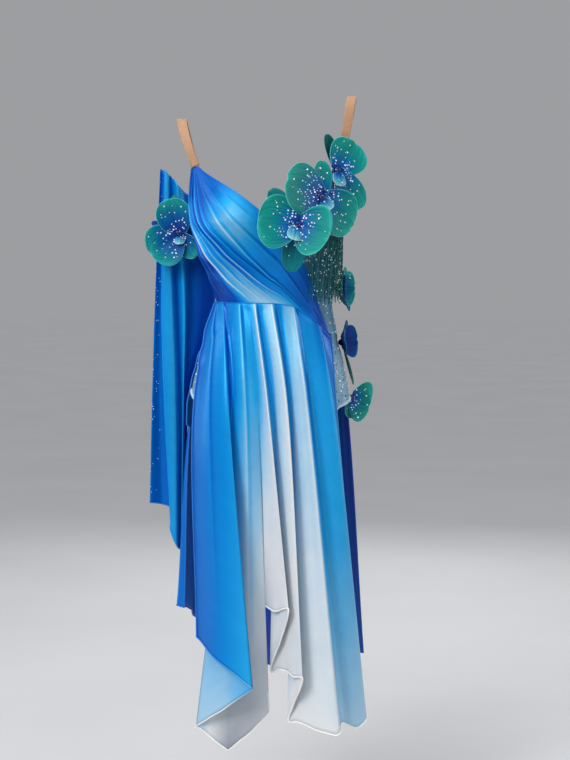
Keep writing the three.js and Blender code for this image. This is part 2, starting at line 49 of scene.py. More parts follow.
MM = 0.001      # places and sizes are given in millimetres, as a cutting room measures
AIM = Vector((34, 0, -511)) * MM
CAMERA_DISTANCE = 3.2
CAMERA_RISE = math.radians(4)
HALF_VIEW_HEIGHT = 0.722        # half of what the frame's long side takes in, at the dress
SENSOR_MM = 36

camera_data = bpy.data.cameras.new("camera")
camera_data.sensor_width = SENSOR_MM
camera_data.lens = SENSOR_MM / 2 * CAMERA_DISTANCE / HALF_VIEW_HEIGHT
camera = bpy.data.objects.new("camera", camera_data)
bpy.context.collection.objects.link(camera)
camera_back = Vector((0, -math.cos(CAMERA_RISE), math.sin(CAMERA_RISE)))
camera.location = AIM + camera_back * CAMERA_DISTANCE
camera.rotation_euler = (-camera_back).to_track_quat("-Z", "Y").to_euler()
bpy.context.scene.camera = camera


# ---- Bodysuit -----------------------------------------------------------------------------
# Pale blue stretch mesh with glitter, cut as a front and a back panel with short legs. It is
# shaped on a general figure, and everything else is sewn on top of it.

FIGURE = [      # level sections: height, middle, half width, depth to the front and to the back
    (-60, 0, 150, 60, 80), (-110, 0, 142, 78, 88), (-160, 1, 140, 100, 92), (-215, 4, 139, 118, 92),
    (-270, 8, 130, 104, 86), (-310, 12, 119, 92, 82), (-363, 15, 106, 82, 78),
    (-430, 9, 122, 88, 96), (-475, 7, 136, 92, 108), (-522, 6, 146, 95, 114),
    (-560, 5, 152, 96, 112), (-600, 4, 152, 90, 102), (-630, 3, 150, 64, 72),
    (-648, 3, 150, 27, 30), (-656, 3, 150, 3, 3),
]
FIGURE_WAIST = -363
BUST_X, BUST_HEIGHT, BUST_DEPTH, BUST_SPREAD = 74, -208, 20, 44
ROUNDNESS = 2.3
MESH_CLOTH = 1.5


def section(height):
    """The figure's middle, half width and two depths at a height, in millimetres."""
    if height >= FIGURE[0][0]:
        return FIGURE[0][1:]
    for upper, lower in zip(FIGURE, FIGURE[1:]):
        if lower[0] < height:
            share = (upper[0] - height) / (upper[0] - lower[0])
            rounded = share**3 * (share * (6 * share - 15) + 10)
            share = 0.4 * rounded + 0.6 * share
            return tuple(a + (b - a) * share for a, b in zip(upper[1:], lower[1:]))
    return FIGURE[-1][1:]


def on_figure(turn, height, out):
    """A point out from the figure's skin: turn is 0 at the front and 180 at the back."""
    middle, half, front, back = section(height)
    across, ahead = math.sin(math.radians(turn)), math.cos(math.radians(turn))
    depth = -(front + out) if ahead > 0 else back + out
    x = middle + (half + out) * math.copysign(abs(across) ** (2 / ROUNDNESS), across)
    y = depth * abs(ahead) ** (2 / ROUNDNESS)
    off_cup = (abs(x) - BUST_X) ** 2 + (height - BUST_HEIGHT) ** 2
    cup = BUST_DEPTH * math.exp(-off_cup / (2 * BUST_SPREAD**2)) * min(1, 2 * ahead)
    return Vector((x, y - max(0, cup), height))


def along_table(table, value):
    """Reads a two-column table at a value, straight between its rows."""
    if value <= table[0][0]:
        return table[0][1]
    for (x0, y0), (x1, y1) in zip(table, table[1:]):
        if value <= x1:
            return y0 + (y1 - y0) * (value - x0) / (x1 - x0)
    return table[-1][1]


def between(values, place):
    """Reads a list at a place between its entries, straight from one to the next."""
    return along_table(list(enumerate(values)), place)


def as_piece(name, bm):
    """Makes an object of a finished mesh."""
    mesh = bpy.data.meshes.new(name)
    bm.to_mesh(mesh)
    bm.free()
    piece = bpy.data.objects.new(name, mesh)
    bpy.context.collection.objects.link(piece)
    return piece


def lay_cloth(name, grid, marks=None):
    """A sheet whose columns run down from left to right as its outside is seen. grid[i][j] is a
    place in millimetres. marks gives a number at each place, kept as the attribute "dye": the
    dye, and on the satin pieces painted highlights and painted shade too."""
    columns, rows = len(grid), len(grid[0])
    bm = bmesh.new()
    bmesh.ops.create_grid(bm, x_segments=columns - 1, y_segments=rows - 1, size=1)
    uv = bm.loops.layers.uv.new("cloth")
    dye = bm.verts.layers.float.new("dye")
    spot = {}
    for vert in bm.verts:
        i = round((vert.co.x + 1) / 2 * (columns - 1))
        j = round((1 - vert.co.y) / 2 * (rows - 1))
        spot[vert] = (i, j)
        vert.co = grid[i][j] * MM
        if marks:
            vert[dye] = marks[i][j]
    middle_row, middle_column = rows // 2, columns // 2
    width = sum((grid[i + 1][middle_row] - grid[i][middle_row]).length for i in range(columns - 1))
    height = sum((grid[middle_column][j + 1] - grid[middle_column][j]).length for j in range(rows - 1))
    for face in bm.faces:
        for loop in face.loops:
            i, j = spot[loop.vert]
            loop[uv].uv = (i / (columns - 1) * width * MM, -j / (rows - 1) * height * MM)
        face.smooth = True
    return as_piece(name, bm)


def give_wall(piece, thickness):
    """Thickens a sheet inwards from its outer face."""
    solid = piece.modifiers.new("wall", "SOLIDIFY")
    solid.thickness = thickness * MM
    solid.offset = -1


def finish_piece(piece, material):
    """Gives a piece its material, and lets it ride on the part."""
    piece.data.materials.append(material)
    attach(piece, "root")
    return piece


NECKLINE = [(-90, -184), (-76, -122), (-66, -116), (-40, -146), (-20, -172), (0, -208), (20, -188),
            (40, -152), (57, -112), (64, -86), (76, -88), (90, -180)]
BACK_NECKLINE = [(90, -180), (122, -206), (138, -214), (160, -278), (180, -296), (200, -278),
                 (222, -214), (238, -206), (270, -184)]
LEG_EDGE = [(-90, -528), (-54, -552), (-28, -606), (-13, -646), (0, -655), (13, -646), (28, -606),
            (54, -557), (90, -543)]
BACK_LEG_EDGE = [(90, -543), (126, -568), (152, -622), (167, -648), (180, -655), (193, -648),
                 (208, -622), (234, -562), (270, -528)]
SEAM = 0.3


def bodysuit_grid(start, stop, neckline, leg_edge, columns=96, rows=120):
    grid = []
    for i in range(columns + 1):
        turn = start + (stop - start) * i / columns
        top, bottom = along_table(neckline, turn), along_table(leg_edge, turn)
        column = []
        for j in range(rows + 1):
            share = 2 * j / rows
            height = (top + (FIGURE_WAIST - top) * share if share < 1
                      else FIGURE_WAIST + (bottom - FIGURE_WAIST) * (share - 1))
            column.append(on_figure(turn, height, MESH_CLOTH))
        grid.append(column)
    return grid


def keep_side(grid, side):
    """Holds a panel to its own side of the side seams."""
    for column in grid:
        for point in column:
            point.y = side * max(side * point.y, SEAM / 2)
    return grid


def new_material(name):
    material = bpy.data.materials.new(name)
    material.use_nodes = True
    tree = material.node_tree
    return material, tree, tree.nodes["Principled BSDF"]


def set_sockets(tree, node, sockets):
    """Sets a node's inputs: an output is linked, and a number or colour is set on the socket."""
    for name, value in sockets.items():
        if isinstance(value, bpy.types.NodeSocket):
            tree.links.new(value, node.inputs[name])
        else:
            node.inputs[name].default_value = value


def add_node(tree, kind, **settings):
    """Adds a node; settings whose names are its sockets go there, the rest on the node."""
    node = tree.nodes.new(kind)
    for key, value in settings.items():
        if key in node.inputs:
            set_sockets(tree, node, {key: value})
        else:
            setattr(node, key, value)
    return node


def calculate(tree, operation, *values):
    """Works a number out of others, each of them plain or an output."""
    node = add_node(tree, "ShaderNodeMath", operation=operation)
    set_sockets(tree, node, dict(enumerate(values)))
    return node.outputs[0]


def colour_ramp(tree, value, stops):
    """Turns a value into a colour by its (place, colour) stops."""
    ramp = add_node(tree, "ShaderNodeValToRGB", Fac=value)
    elements = ramp.color_ramp.elements
    while len(elements) < len(stops):
        elements.new(0.5)
    for element, (place, colour) in zip(elements, stops):
        element.position = place
        element.color = (*colour, 1)
    return ramp.outputs["Color"]


def noise_at(tree, vector, **settings):
    """A cloudy value, at places given by a vector."""
    return add_node(tree, "ShaderNodeTexNoise", Vector=vector, **settings).outputs["Fac"]


def object_place(tree):
    return add_node(tree, "ShaderNodeTexCoord").outputs["Object"]


def cloth_place(tree):
    return add_node(tree, "ShaderNodeUVMap", uv_map="cloth").outputs[0]


# The attribute dye: on the satin it holds painted highlights and painted shade too, and on the beads
# painted glints.
def dye_and_light_mark(tree):
    return add_node(tree, "ShaderNodeAttribute", attribute_name="dye").outputs["Fac"]


def add_bumps(tree, shader, *layers):
    """Raises the surface by one (height, strength, distance) after another."""
    normal = None
    for height, strength, distance in layers:
        bump = add_node(tree, "ShaderNodeBump", Strength=strength, Distance=distance, Height=height)
        if normal:
            set_sockets(tree, bump, {"Normal": normal})
        normal = bump.outputs[0]
    set_sockets(tree, shader, {"Normal": normal})


def make_weave_group():
    """Fine crossing threads: a height for a bump and a tone to mix into a colour."""
    group = bpy.data.node_groups.new("fine_weave", "ShaderNodeTree")
    for name, way, kind in (("Cloth", "INPUT", "Vector"), ("Threads per metre", "INPUT", "Float"),
                            ("Height", "OUTPUT", "Float"), ("Tone", "OUTPUT", "Float")):
        group.interface.new_socket(name, in_out=way, socket_type="NodeSocket" + kind)
    given, made = group.nodes.new("NodeGroupInput"), group.nodes.new("NodeGroupOutput")
    scaled = add_node(group, "ShaderNodeVectorMath", operation="SCALE",
                      Vector=given.outputs["Cloth"], Scale=given.outputs["Threads per metre"])
    heights = [add_node(group, "ShaderNodeTexWave", wave_type="BANDS", bands_direction=direction,
                        Scale=1, Distortion=0.6, Detail=1, Vector=scaled.outputs[0]).outputs["Fac"]
               for direction in "XY"]
    slubs = noise_at(group, given.outputs["Cloth"], Scale=60, Detail=3)
    set_sockets(group, made, {"Height": calculate(group, "MULTIPLY", *heights), "Tone": slubs})
    return group


weave_group = make_weave_group()


def add_weave(tree, threads):
    """Places the weave in a material, on the piece's own cloth map: its height and its tone."""
    weave = add_node(tree, "ShaderNodeGroup", node_tree=weave_group, Cloth=cloth_place(tree),
                     **{"Threads per metre": threads})
    return weave.outputs["Height"], weave.outputs["Tone"]


def glitter_mesh_material():
    material, tree, shader = new_material("glitter_mesh")
    place = object_place(tree)
    flecks = add_node(tree, "ShaderNodeTexVoronoi", Scale=520, Vector=place)
    fleck = flecks.outputs["Color"]
    bright = colour_ramp(tree, fleck, [(0.0, (0.09, 0.19, 0.29)), (0.45, (0.15, 0.30, 0.43)),
                                       (0.8, (0.24, 0.42, 0.56)), (1.0, (0.50, 0.72, 0.84))])
    # The mesh is tinted a darker teal all the way round from a little below the waist up, fading out
    # towards the hip.
    height = add_node(tree, "ShaderNodeSeparateXYZ", Vector=place).outputs["Z"]
    higher_up = add_node(tree, "ShaderNodeMapRange", Value=height,
                            **{"From Min": -0.50, "From Max": -0.39})
    tint = add_node(tree, "ShaderNodeMix", data_type="RGBA", blend_type="MULTIPLY",
                    Factor=higher_up.outputs[0], A=bright, B=(0.14, 0.46, 0.56, 1))
    gloss = add_node(tree, "ShaderNodeMapRange", Value=fleck, **{"To Min": 0.6, "To Max": 0.2})
    threads, _ = add_weave(tree, 700)
    add_bumps(tree, shader, (flecks.outputs["Distance"], 0.35, 0.0006), (threads, 0.2, 0.0003))
    set_sockets(tree, shader, {"Base Color": tint.outputs["Result"], "Roughness": gloss.outputs[0],
                               "Specular IOR Level": 0.35})
    return material


glitter_mesh = glitter_mesh_material()
suit_front_grid = keep_side(bodysuit_grid(-90, 90, NECKLINE, LEG_EDGE), -1)
suit_back_grid = keep_side(bodysuit_grid(90, 270, BACK_NECKLINE, BACK_LEG_EDGE), 1)
suit_front = lay_cloth("suit_front", suit_front_grid)
suit_back = lay_cloth("suit_back", suit_back_grid)
for piece, node in ((suit_front, "bodysuit_front"), (suit_back, "bodysuit_back")):
    give_wall(piece, MESH_CLOTH)
    finish_piece(piece, glitter_mesh)
    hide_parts(node)


# ---- Bodysuit edges -----------------------------------------------------------------------
# The leg edges are turned up over a soft elastic into a thick pale band, and the neck and
# back edges are bound with a thin one.

LEG_BAND, EDGE_BAND, EDGE_INSET = 3.2, 1.6, 0.7
END_TAPER = 0.25        # a round edge narrows to this share of its radius at each end


def tube_along(name, path, radius, marks=None, sides=8):
    """A round edge of a given radius along a path in millimetres, with closed ends."""
    rings, side = [], Vector((0.1, 0.9, 0.3))
    for i, point in enumerate(path):
        ahead = (path[min(i + 1, len(path) - 1)] - path[max(i - 1, 0)]).normalized()
        side = (side - ahead * side.dot(ahead)).normalized()
        other = ahead.cross(side)
        size = radius * (END_TAPER if i in (0, len(path) - 1) else 1)
        ring = [point + (side * math.cos(angle) + other * math.sin(angle)) * size
                for angle in (-2 * math.pi * k / sides for k in range(sides + 1))]
        rings.append(ring)
    shades = [[marks[i]] * (sides + 1) for i in range(len(path))] if marks else None
    tube = lay_cloth(name, rings, shades)
    bm = bmesh.new()
    bm.from_mesh(tube.data)
    bmesh.ops.remove_doubles(bm, verts=bm.verts, dist=1e-7)
    bmesh.ops.holes_fill(bm, edges=[edge for edge in bm.edges if edge.is_boundary], sides=sides)
    bmesh.ops.recalc_face_normals(bm, faces=bm.faces)
    bm.to_mesh(tube.data)
    bm.free()
    return tube


def woven_material(name, threads, stops, thread_height, finish):
    """A plain woven band or tape whose tone is uneven from thread to thread."""
    material, tree, shader = new_material(name)
    height, tone = add_weave(tree, threads)
    add_bumps(tree, shader, (height, 0.4, thread_height))
    set_sockets(tree, shader, {"Base Color": colour_ramp(tree, tone, stops), **finish})
    return material


pale_band = woven_material(
    "pale_band", 900, [(0.2, (0.40, 0.58, 0.70)), (0.8, (0.58, 0.74, 0.84))], 0.0004,
    {"Roughness": 0.55})


def grid_edge(grid, row, inset):
    """A panel's top or bottom edge, moved in to the middle of its wall."""
    return [column[row] + Vector((0, math.copysign(inset, -column[row].y), 0)) for column in grid]


for name, grid, row, radius in (
    ("leg_band_front", suit_front_grid, -1, LEG_BAND), ("leg_band_back", suit_back_grid, -1, LEG_BAND),
    ("neck_band_front", suit_front_grid, 0, EDGE_BAND), ("neck_band_back", suit_back_grid, 0, EDGE_BAND),
):
    edge = tube_along(name, grid_edge(grid, row, EDGE_INSET), radius)
    finish_piece(edge, pale_band)


# ---- Stones on the bodysuit ---------------------------------------------------------------
# Flat-backed glass stones, clear and dark ones mixed, glued all over the mesh by hand.

STONE_RADIUS = (1.0, 1.9)
STONE_TOP, STONE_HEIGHT = 0.5, 0.8      # a stone's flat top and its height, as shares of its radius


def set_stones(name, places, material, seed, radii=STONE_RADIUS):
    """Small cut stones on the given (place, outward) pairs, in millimetres."""
    pick = random.Random(seed)
    bm = bmesh.new()
    for place, outward in places:
        radius = pick.uniform(*radii) * MM
        turn = outward.to_track_quat("Z", "Y").to_matrix().to_4x4()
        spin = Matrix.Rotation(pick.uniform(0, math.pi), 4, "Z")
        bmesh.ops.create_cone(bm, cap_ends=True, segments=6, radius1=radius,
                              radius2=radius * STONE_TOP, depth=radius * STONE_HEIGHT,
                              matrix=Matrix.Translation((place + outward * 0.3) * MM) @ turn @ spin)
    return finish_piece(as_piece(name, bm), material)


def stone_material(name, colour, glow):
    """Cut glass backed with foil: glossy, with a tone that changes from stone to stone."""
    material, tree, shader = new_material(name)
    cells = add_node(tree, "ShaderNodeTexVoronoi", Scale=180, Vector=object_place(tree))
    shades = colour_ramp(tree, cells.outputs["Color"],
                         [(0.1, tuple(c * 0.45 for c in colour)), (0.9, colour)])
    set_sockets(tree, shader, {"Base Color": shades, "Roughness": 0.06, "Coat Weight": 1.0,
                               "Coat Roughness": 0.03})
    # A stone given a glow lights itself by emission, though it is no lamp: a painted sparkle.
    if glow:
        set_sockets(tree, shader, {"Emission Color": shades, "Emission Strength": glow})
    return material


# The clear stones, on the bodysuit, the sleeve and the petals, get that painted sparkle.
clear_stone = stone_material("clear_stone", (0.95, 0.97, 1.0), 0.35)
dark_stone = stone_material("dark_stone", (0.01, 0.04, 0.10), 0)


def outward_at(grid, i, j):
    """A sheet's place at a point of its grid, and which way its outside faces there."""
    across, down = grid[i + 1][j] - grid[i - 1][j], grid[i][j + 1] - grid[i][j - 1]
    return grid[i][j].copy(), across.cross(down).normalized() * -1


def scatter_on(grid, count, seed, lowest_row=0.0):
    """Random (place, outward) pairs on a panel's outer face."""
    pick = random.Random(seed)
    places = []
    for _ in range(count):
        i = pick.randrange(1, len(grid) - 1)
        j = int(pick.uniform(lowest_row, 1) * (len(grid[0]) - 3)) + 1
        places.append(outward_at(grid, i, j))
    return places


BELOW_NECK = 0.05       # share of a panel's height that is kept free of stones

for side, grid in (("front", suit_front_grid), ("back", suit_back_grid)):
    for tone, material, count, place_seed, size_seed in (("clear", clear_stone, 420, 11, 5),
                                                         ("dark", dark_stone, 260, 23, 6)):
        set_stones(f"{tone}_stones_{side}", scatter_on(grid, count, place_seed, BELOW_NECK), material,
                   size_seed)


# ---- Shoulder straps ----------------------------------------------------------------------
# Skin-tone elastic, 18 mm wide, ribbed along its length and sewn to the neck edge at both ends.
# Each strap turns with the body where it lies on it and ends upright on the back neckline.

STRAPS = {
    "strap_left": [(-131.2, -44.3, -109.2), (-144, -44, -76), (-155, -28, -42), (-160, 0, -20),
                   (-156, 30, -38), (-142, 52, -90), (-122, 64, -150), (-110, 64, -200),
                   (-107.5, 63.4, -223)],
    "strap_right": [(136.2, -34.3, -96), (146, -38, -56), (155, -22, 2), (160, 0, 22), (158, 28, 6),
                    (148, 50, -50), (129, 63, -130), (116.5, 64, -200), (116.5, 63.4, -223)],
}
STRAP_WIDTH, STRAP_THICK = 18, 1.2
STRAP_FLARE, STRAP_LEVEL = 0.82, -90


def smooth_through(points, count):
    """count + 1 places on a smooth curve through the points, with as many steps in each gap."""
    points = [Vector(point) for point in points]
    padded = [points[0] * 2 - points[1], *points, points[-1] * 2 - points[-2]]
    gaps = len(points) - 1
    result = []
    for k in range(count + 1):
        place = min(k * gaps / count, gaps - 1e-9)
        gap = int(place)
        t = place - gap
        a, b, c, d = padded[gap:gap + 4]
        ab, bc, cd = ((b - a).length ** 0.5, (c - b).length ** 0.5, (d - c).length ** 0.5)
        bc = bc or 1
        ab, cd = ab if ab > 1e-4 else bc, cd if cd > 1e-4 else bc
        slope_b = ((b - a) / ab - (c - a) / (ab + bc) + (c - b) / bc) * bc
        slope_c = ((c - b) / bc - (d - b) / (bc + cd) + (d - c) / cd) * bc
        result.append(b + slope_b * t + (-3 * b + 3 * c - 2 * slope_b - slope_c) * t**2
                      + (2 * b - 2 * c + slope_b + slope_c) * t**3)
    return result


def strap_grid(points, across=10, steps=96):
    line = smooth_through(points, steps)
    grid = [[] for _ in range(across + 1)]
    for k, middle in enumerate(line):
        ahead = (line[min(k + 1, steps)] - line[max(k - 1, 0)]).normalized()
        flare = STRAP_FLARE * abs(middle.y) * math.copysign(1, middle.x)
        outward = Vector((flare, middle.y, max(0, middle.z - STRAP_LEVEL))).normalized()
        side = outward.cross(ahead).normalized()
        for i in range(across + 1):
            grid[i].append(middle + side * STRAP_WIDTH * (0.5 - i / across))
    return grid


def elastic_material():
    material, tree, shader = new_material("strap_elastic")
    ribs = add_node(tree, "ShaderNodeTexWave", wave_type="BANDS", bands_direction="X", Scale=260,
                    Distortion=0.4, Vector=cloth_place(tree)).outputs["Fac"]
    threads, _ = add_weave(tree, 800)
    shades = colour_ramp(tree, ribs, [(0.0, (0.40, 0.20, 0.10)), (1.0, (0.62, 0.36, 0.20))])
    add_bumps(tree, shader, (ribs, 0.5, 0.0004), (threads, 0.3, 0.0002))
    set_sockets(tree, shader, {"Base Color": shades, "Roughness": 0.62, "Sheen Weight": 0.2})
    return material


strap_elastic = elastic_material()
for name, points in STRAPS.items():
    strap = lay_cloth(name + "_elastic", strap_grid(points))
    give_wall(strap, STRAP_THICK)
    finish_piece(strap, strap_elastic)
    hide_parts(name)


# ---- Satin wrap bodice --------------------------------------------------------------------
# Dyed satin, pleated small at the left strap and swept over the bust to the waist seam and the
# right hip, where its corner is tucked under. Its neck edge is turned in.

SATIN = 1.2
SATIN_OUT = MESH_CLOTH + 2.2 + SATIN
WAIST = [(-245, -420), (-215, -392), (-180, -374), (-118, -365), (-90, -362), (-60, -363),
         (0, -364.5), (15, -370), (41, -404), (58, -427)]
BODICE_FOLDS = [    # places are (turn, height) from the strap down, then the turn at the waist, how far the fold rises, its dye at the strap, the bust, the ribs and the waist, and how much painted highlight its crest gets. The dyes hold painted light too: the upper folds are paler at the bust for a painted highlight, and the last folds, low on the left, are darker at the ribs and the waist for painted shade
                    # far the fold rises, its dye at the strap, the bust, the ribs and the waist, and
                    # how much dye is rubbed off its crest
    ((-57, -111), (-20, -159), (2, -210), (23, -287), 60, 0.5, (0.24, 0.44, 0.30, 0.04), 0.00),
    ((-59, -111), (-24, -175), (-1, -232), (19, -305), 54, 1, (0.24, 0.64, 0.34, 0.06), 0.08),
    ((-61, -110), (-30, -195), (-7, -256), (13, -322), 48, 3, (0.24, 0.74, 0.36, 0.12), 0.12),
    ((-63, -110), (-38, -206), (-16, -275), (6, -335), 40, 5, (0.22, 0.72, 0.42, 0.24), 0.26),
    ((-64, -110), (-50, -213), (-29, -264), (-4, -318), 28, 6, (0.20, 0.52, 0.42, 0.40), 0.12),
    ((-65, -110), (-60, -204), (-40, -258), (-13, -318), 15, 6, (0.20, 0.30, 0.44, 0.60), 0.50),
    ((-66, -110), (-68, -192), (-50, -248), (-24, -308), 3, 7, (0.18, 0.26, 0.56, 0.80), 0.20),
    ((-67, -110), (-74, -187), (-60, -242), (-36, -305), -8, 6, (0.16, 0.24, 0.66, 0.88), 0.14),
    ((-68, -111), (-79, -183), (-69, -240), (-48, -304), -19, 6, (0.14, 0.18, 0.60, 0.76), 0.50),
    ((-69, -111), (-83, -180), (-77, -240), (-60, -304), -35, 5, (0.16, 0.10, 0.08, 0.16), 0.16),
    ((-71, -112), (-87, -177), (-84, -240), (-74, -305), -58, 4, (0.20, 0.10, 0.06, 0.10), 0.34),
    ((-74, -114), (-90, -176), (-90, -240), (-90, -304), -90, 0, (0.24, 0.14, 0.08, 0.12), 0.00),
]
# Where along a fold each of its four dyes stands; the bust's, with its painted highlight, holds only
# over a short stretch.
FOLD_LENGTHS = [(0, 0), (0.15, 0.1), (0.27, 1), (0.38, 1.1), (0.5, 1.8), (0.65, 2), (1, 3)]
FOLD_FALL = 0.8     # share of the way to the next fold over which one falls; the rest steps up
FALL_CURVE = 1.4
FOLD_ROLL, ROLL_WIDTH = 1.0, 0.09       # a rolled crest, and how wide it is as a share of the fold
PAINTED_STEP_SHADE, STEP_PLACE = 0.20, 0.85      # painted shade under a fold's steep side, and where, as a share of the fold
FULL_RIDGE = 6      # a fold this high has its whole roll and its whole change of dye


def eased(share):
    return share * share * (3 - 2 * share)


def dye_and_light_at(tones, places, share):
    """Reads a fold's dyes, painted highlights and shade among them, at a share of its length."""
    return between(tones, along_table(places, share))


def wrap_grid(across=18, rows=120):
    lines = []
    for start, high, middle, low, waist_turn, ridge, *_ in BODICE_FOLDS:
        end = (waist_turn, along_table(WAIST, waist_turn) + 1, 0)
        lines.append(smooth_through([(*start, 0), (*high, ridge), (*middle, ridge), (*low, ridge),
                                     end], rows))
    count = (len(lines) - 1) * across
    grid = [[] for _ in range(count + 1)]
    marks = [[] for _ in range(count + 1)]
    for j in range(rows + 1):
        tones = [dye_and_light_at(fold[6], FOLD_LENGTHS, j / rows) for fold in BODICE_FOLDS]
        for i, (turn, height, _) in enumerate(smooth_through([line[j] for line in lines], count)):
            fold = min(i // across, len(lines) - 2)
            past = i / across - fold
            if past < FOLD_FALL:
                rise = lines[fold][j].z * (1 - past / FOLD_FALL) ** FALL_CURVE
            else:
                rise = lines[fold + 1][j].z * eased((past - FOLD_FALL) / (1 - FOLD_FALL))
            nearest = fold + round(past)
            near = lines[nearest][j].z / FULL_RIDGE
            crest = near * math.exp(-((past - round(past)) / ROLL_WIDTH) ** 2)
            step = near * math.exp(-((past - STEP_PLACE) / ROLL_WIDTH) ** 2)
            rise += FOLD_ROLL * crest
            grid[count - i].append(on_figure(max(turn, -90), height, SATIN_OUT + max(0, rise)))
            # A painted highlight along each crest, and a painted shade just under the fold's steep side.
            painted_crest_highlight = BODICE_FOLDS[nearest][7] * crest
            marks[count - i].append(max(0, between(tones, i / across) + painted_crest_highlight - PAINTED_STEP_SHADE * step))
    return grid, marks


PAINTED_SHADE_END = 1.25     # the attribute dye runs from 0, full dye, through 1, bare white, to this painted grey shade
# The last colour is the painted shade of the folds, not a dye.
SATIN_DYE_AND_SHADE = [(0.0, (0.0, 0.010, 0.20)), (0.15, (0.0, 0.045, 0.38)), (0.30, (0.0, 0.125, 0.54)),
             (0.45, (0.0, 0.22, 0.64)), (0.60, (0.015, 0.34, 0.72)), (0.75, (0.14, 0.43, 0.71)),
             (0.90, (0.40, 0.59, 0.74)), (1.0, (0.75, 0.75, 0.76)), (PAINTED_SHADE_END, (0.20, 0.21, 0.27))]


def satin_material(name, shiny, dyes):
    """Dip-dyed polyester satin, or its duller reverse."""
    material, tree, shader = new_material(name)
    cloud = noise_at(tree, object_place(tree), Scale=7, Detail=3)
    drift = calculate(tree, "MULTIPLY_ADD", cloud, 0.06, -0.03)
    uneven = calculate(tree, "ADD", dye_and_light_mark(tree), drift)
    shades = colour_ramp(tree, calculate(tree, "DIVIDE", uneven, PAINTED_SHADE_END),
                         [(stop / PAINTED_SHADE_END, colour) for stop, colour in dyes])
    threads, tone = add_weave(tree, 1500)
    thread_tone = add_node(tree, "ShaderNodeMix", data_type="RGBA", blend_type="OVERLAY",
                           Factor=0.12, A=shades, B=tone)
    stretch = add_node(tree, "ShaderNodeMapping", Scale=(1, 0.07, 1), Vector=cloth_place(tree))
    creases = noise_at(tree, stretch.outputs[0], Scale=75, Detail=3, Roughness=0.4)
    add_bumps(tree, shader, (creases, 0.22, 0.004), (threads, 0.06, 0.0002))
    set_sockets(tree, shader, {"Base Color": thread_tone.outputs["Result"],
                               "Roughness": 0.30 if shiny else 0.55,
                               "Sheen Weight": 0.03 if shiny else 0.10,
                               "Sheen Tint": (0.3, 0.8, 1.0, 1)})
    if shiny:
        metal = add_node(tree, "ShaderNodeMapRange", Value=uneven,
                         **{"From Max": 0.85, "To Min": 0.20, "To Max": 0.0})
        set_sockets(tree, shader, {"Metallic": metal.outputs[0], "Specular IOR Level": 0.55,
                                   "Specular Tint": (0.2, 0.8, 1.0, 1), "Anisotropic": 0.45})
    return material


satin = satin_material("ombre_satin", True, SATIN_DYE_AND_SHADE)
satin_reverse = satin_material("ombre_satin_reverse", False, SATIN_DYE_AND_SHADE)
hem_thread = satin_material("ombre_hem_thread", False, [*SATIN_DYE_AND_SHADE[:-2], (1.05, (0.92, 0.92, 0.90))])


def finish_satin(piece, node):
    """Satin outside, its dull reverse inside."""
    give_wall(piece, SATIN)
    finish_piece(piece, satin)
    piece.data.materials.append(satin_reverse)
    piece.modifiers["wall"].material_offset = 1
    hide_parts(node)


wrap_places, wrap_dye_and_light = wrap_grid()
wrap = lay_cloth("satin_wrap", wrap_places, wrap_dye_and_light)
finish_satin(wrap, "bodice_wrap")


# ---- Skirt --------------------------------------------------------------------------------
# Two panels of the same satin, knife-pleated at the waist seam. The front is cut to handkerchief
# points with a slit, the back is shorter; both hang open over the right hip. All edges are rolled.

HIP = -540
# Painted shade in the dyes: lower values in the valleys beside the crests and at the tucked corner, and
# values past 1, a grey, in the folds near the hem.
SKIRT_FRONT = [     # turn on the waist seam, place at the hip, place of the hem, dye and painted shade at four levels
    (-90, (-134, -58), (-132, -70, -990), (0.36, 0.34, 0.30, 0.26)),
    (-74, (-106, -98), (-90, -118, -1024), (0.42, 0.40, 0.38, 0.36)),
    (-57, (-70, -120), (-25, -150, -1069), (0.46, 0.50, 0.54, 0.62)),
    (-54, (-66, -113), (-79, -100, -1118), (0.30, 0.34, 0.52, 0.84)),
    (-50, (-63, -108), (-134, -48, -1166), (0.34, 0.38, 0.62, 0.88)),
    (-41, (-54, -113), (-74, -60, -1210), (0.44, 0.50, 0.76, 1.20)),
    (-32, (-38, -121), (-32, -71, -1173), (0.56, 0.68, 0.88, 1.14)),
    (-23, (-20, -115), (5, -79, -1131), (0.46, 0.60, 0.94, 1.06)),
    (-20.5, (-12, -113), (-6, -92, -928), (0.48, 0.64, 0.96, 1.08)),
    (-18, (-4, -119), (15, -114, -932), (0.74, 0.86, 0.97, 1.02)),
    (-15.7, (2, -129), (40, -140, -922), (0.86, 0.93, 0.98, 1.00)),
    (-13.5, (7, -120), (26, -112, -986), (0.48, 0.58, 0.80, 1.04)),
    (-11, (13, -114), (8, -88, -1051), (0.46, 0.58, 0.82, 1.04)),
    (-8, (18, -119), (29, -96, -1046), (0.74, 0.84, 0.94, 1.02)),
    (-4.5, (27, -126), (52, -122, -1053), (0.84, 0.92, 0.97, 1.00)),
    (-1.7, (37, -130), (66, -140, -1051), (0.86, 0.92, 0.97, 1.00)),
    (0.8, (40, -120), (54, -112, -1098), (0.46, 0.54, 0.76, 1.02)),
    (3.5, (43, -113), (41, -86, -1147), (0.46, 0.54, 0.76, 1.02)),
    (6.5, (50, -117), (58, -98, -1145), (0.72, 0.82, 0.93, 1.00)),
    (11, (62, -122), (106, -124, -1158), (0.80, 0.88, 0.95, 1.00)),
    (15, (73, -127), (134, -136, -1157), (0.78, 0.85, 0.92, 0.99)),
    (18.5, (78, -117), (138, -112, -1145), (0.42, 0.50, 0.62, 0.88)),
    (22, (84, -110), (148, -98, -1148), (0.46, 0.54, 0.62, 0.88)),
    (32, (104, -110), (166, -92, -1158), (0.48, 0.56, 0.62, 0.90)),
    (42, (121, -106), (188, -66, -1147), (0.24, 0.52, 0.62, 0.92)),
    (57, (127, -82), (180, -34, -1128), (0.10, 0.34, 0.48, 0.76)),
]
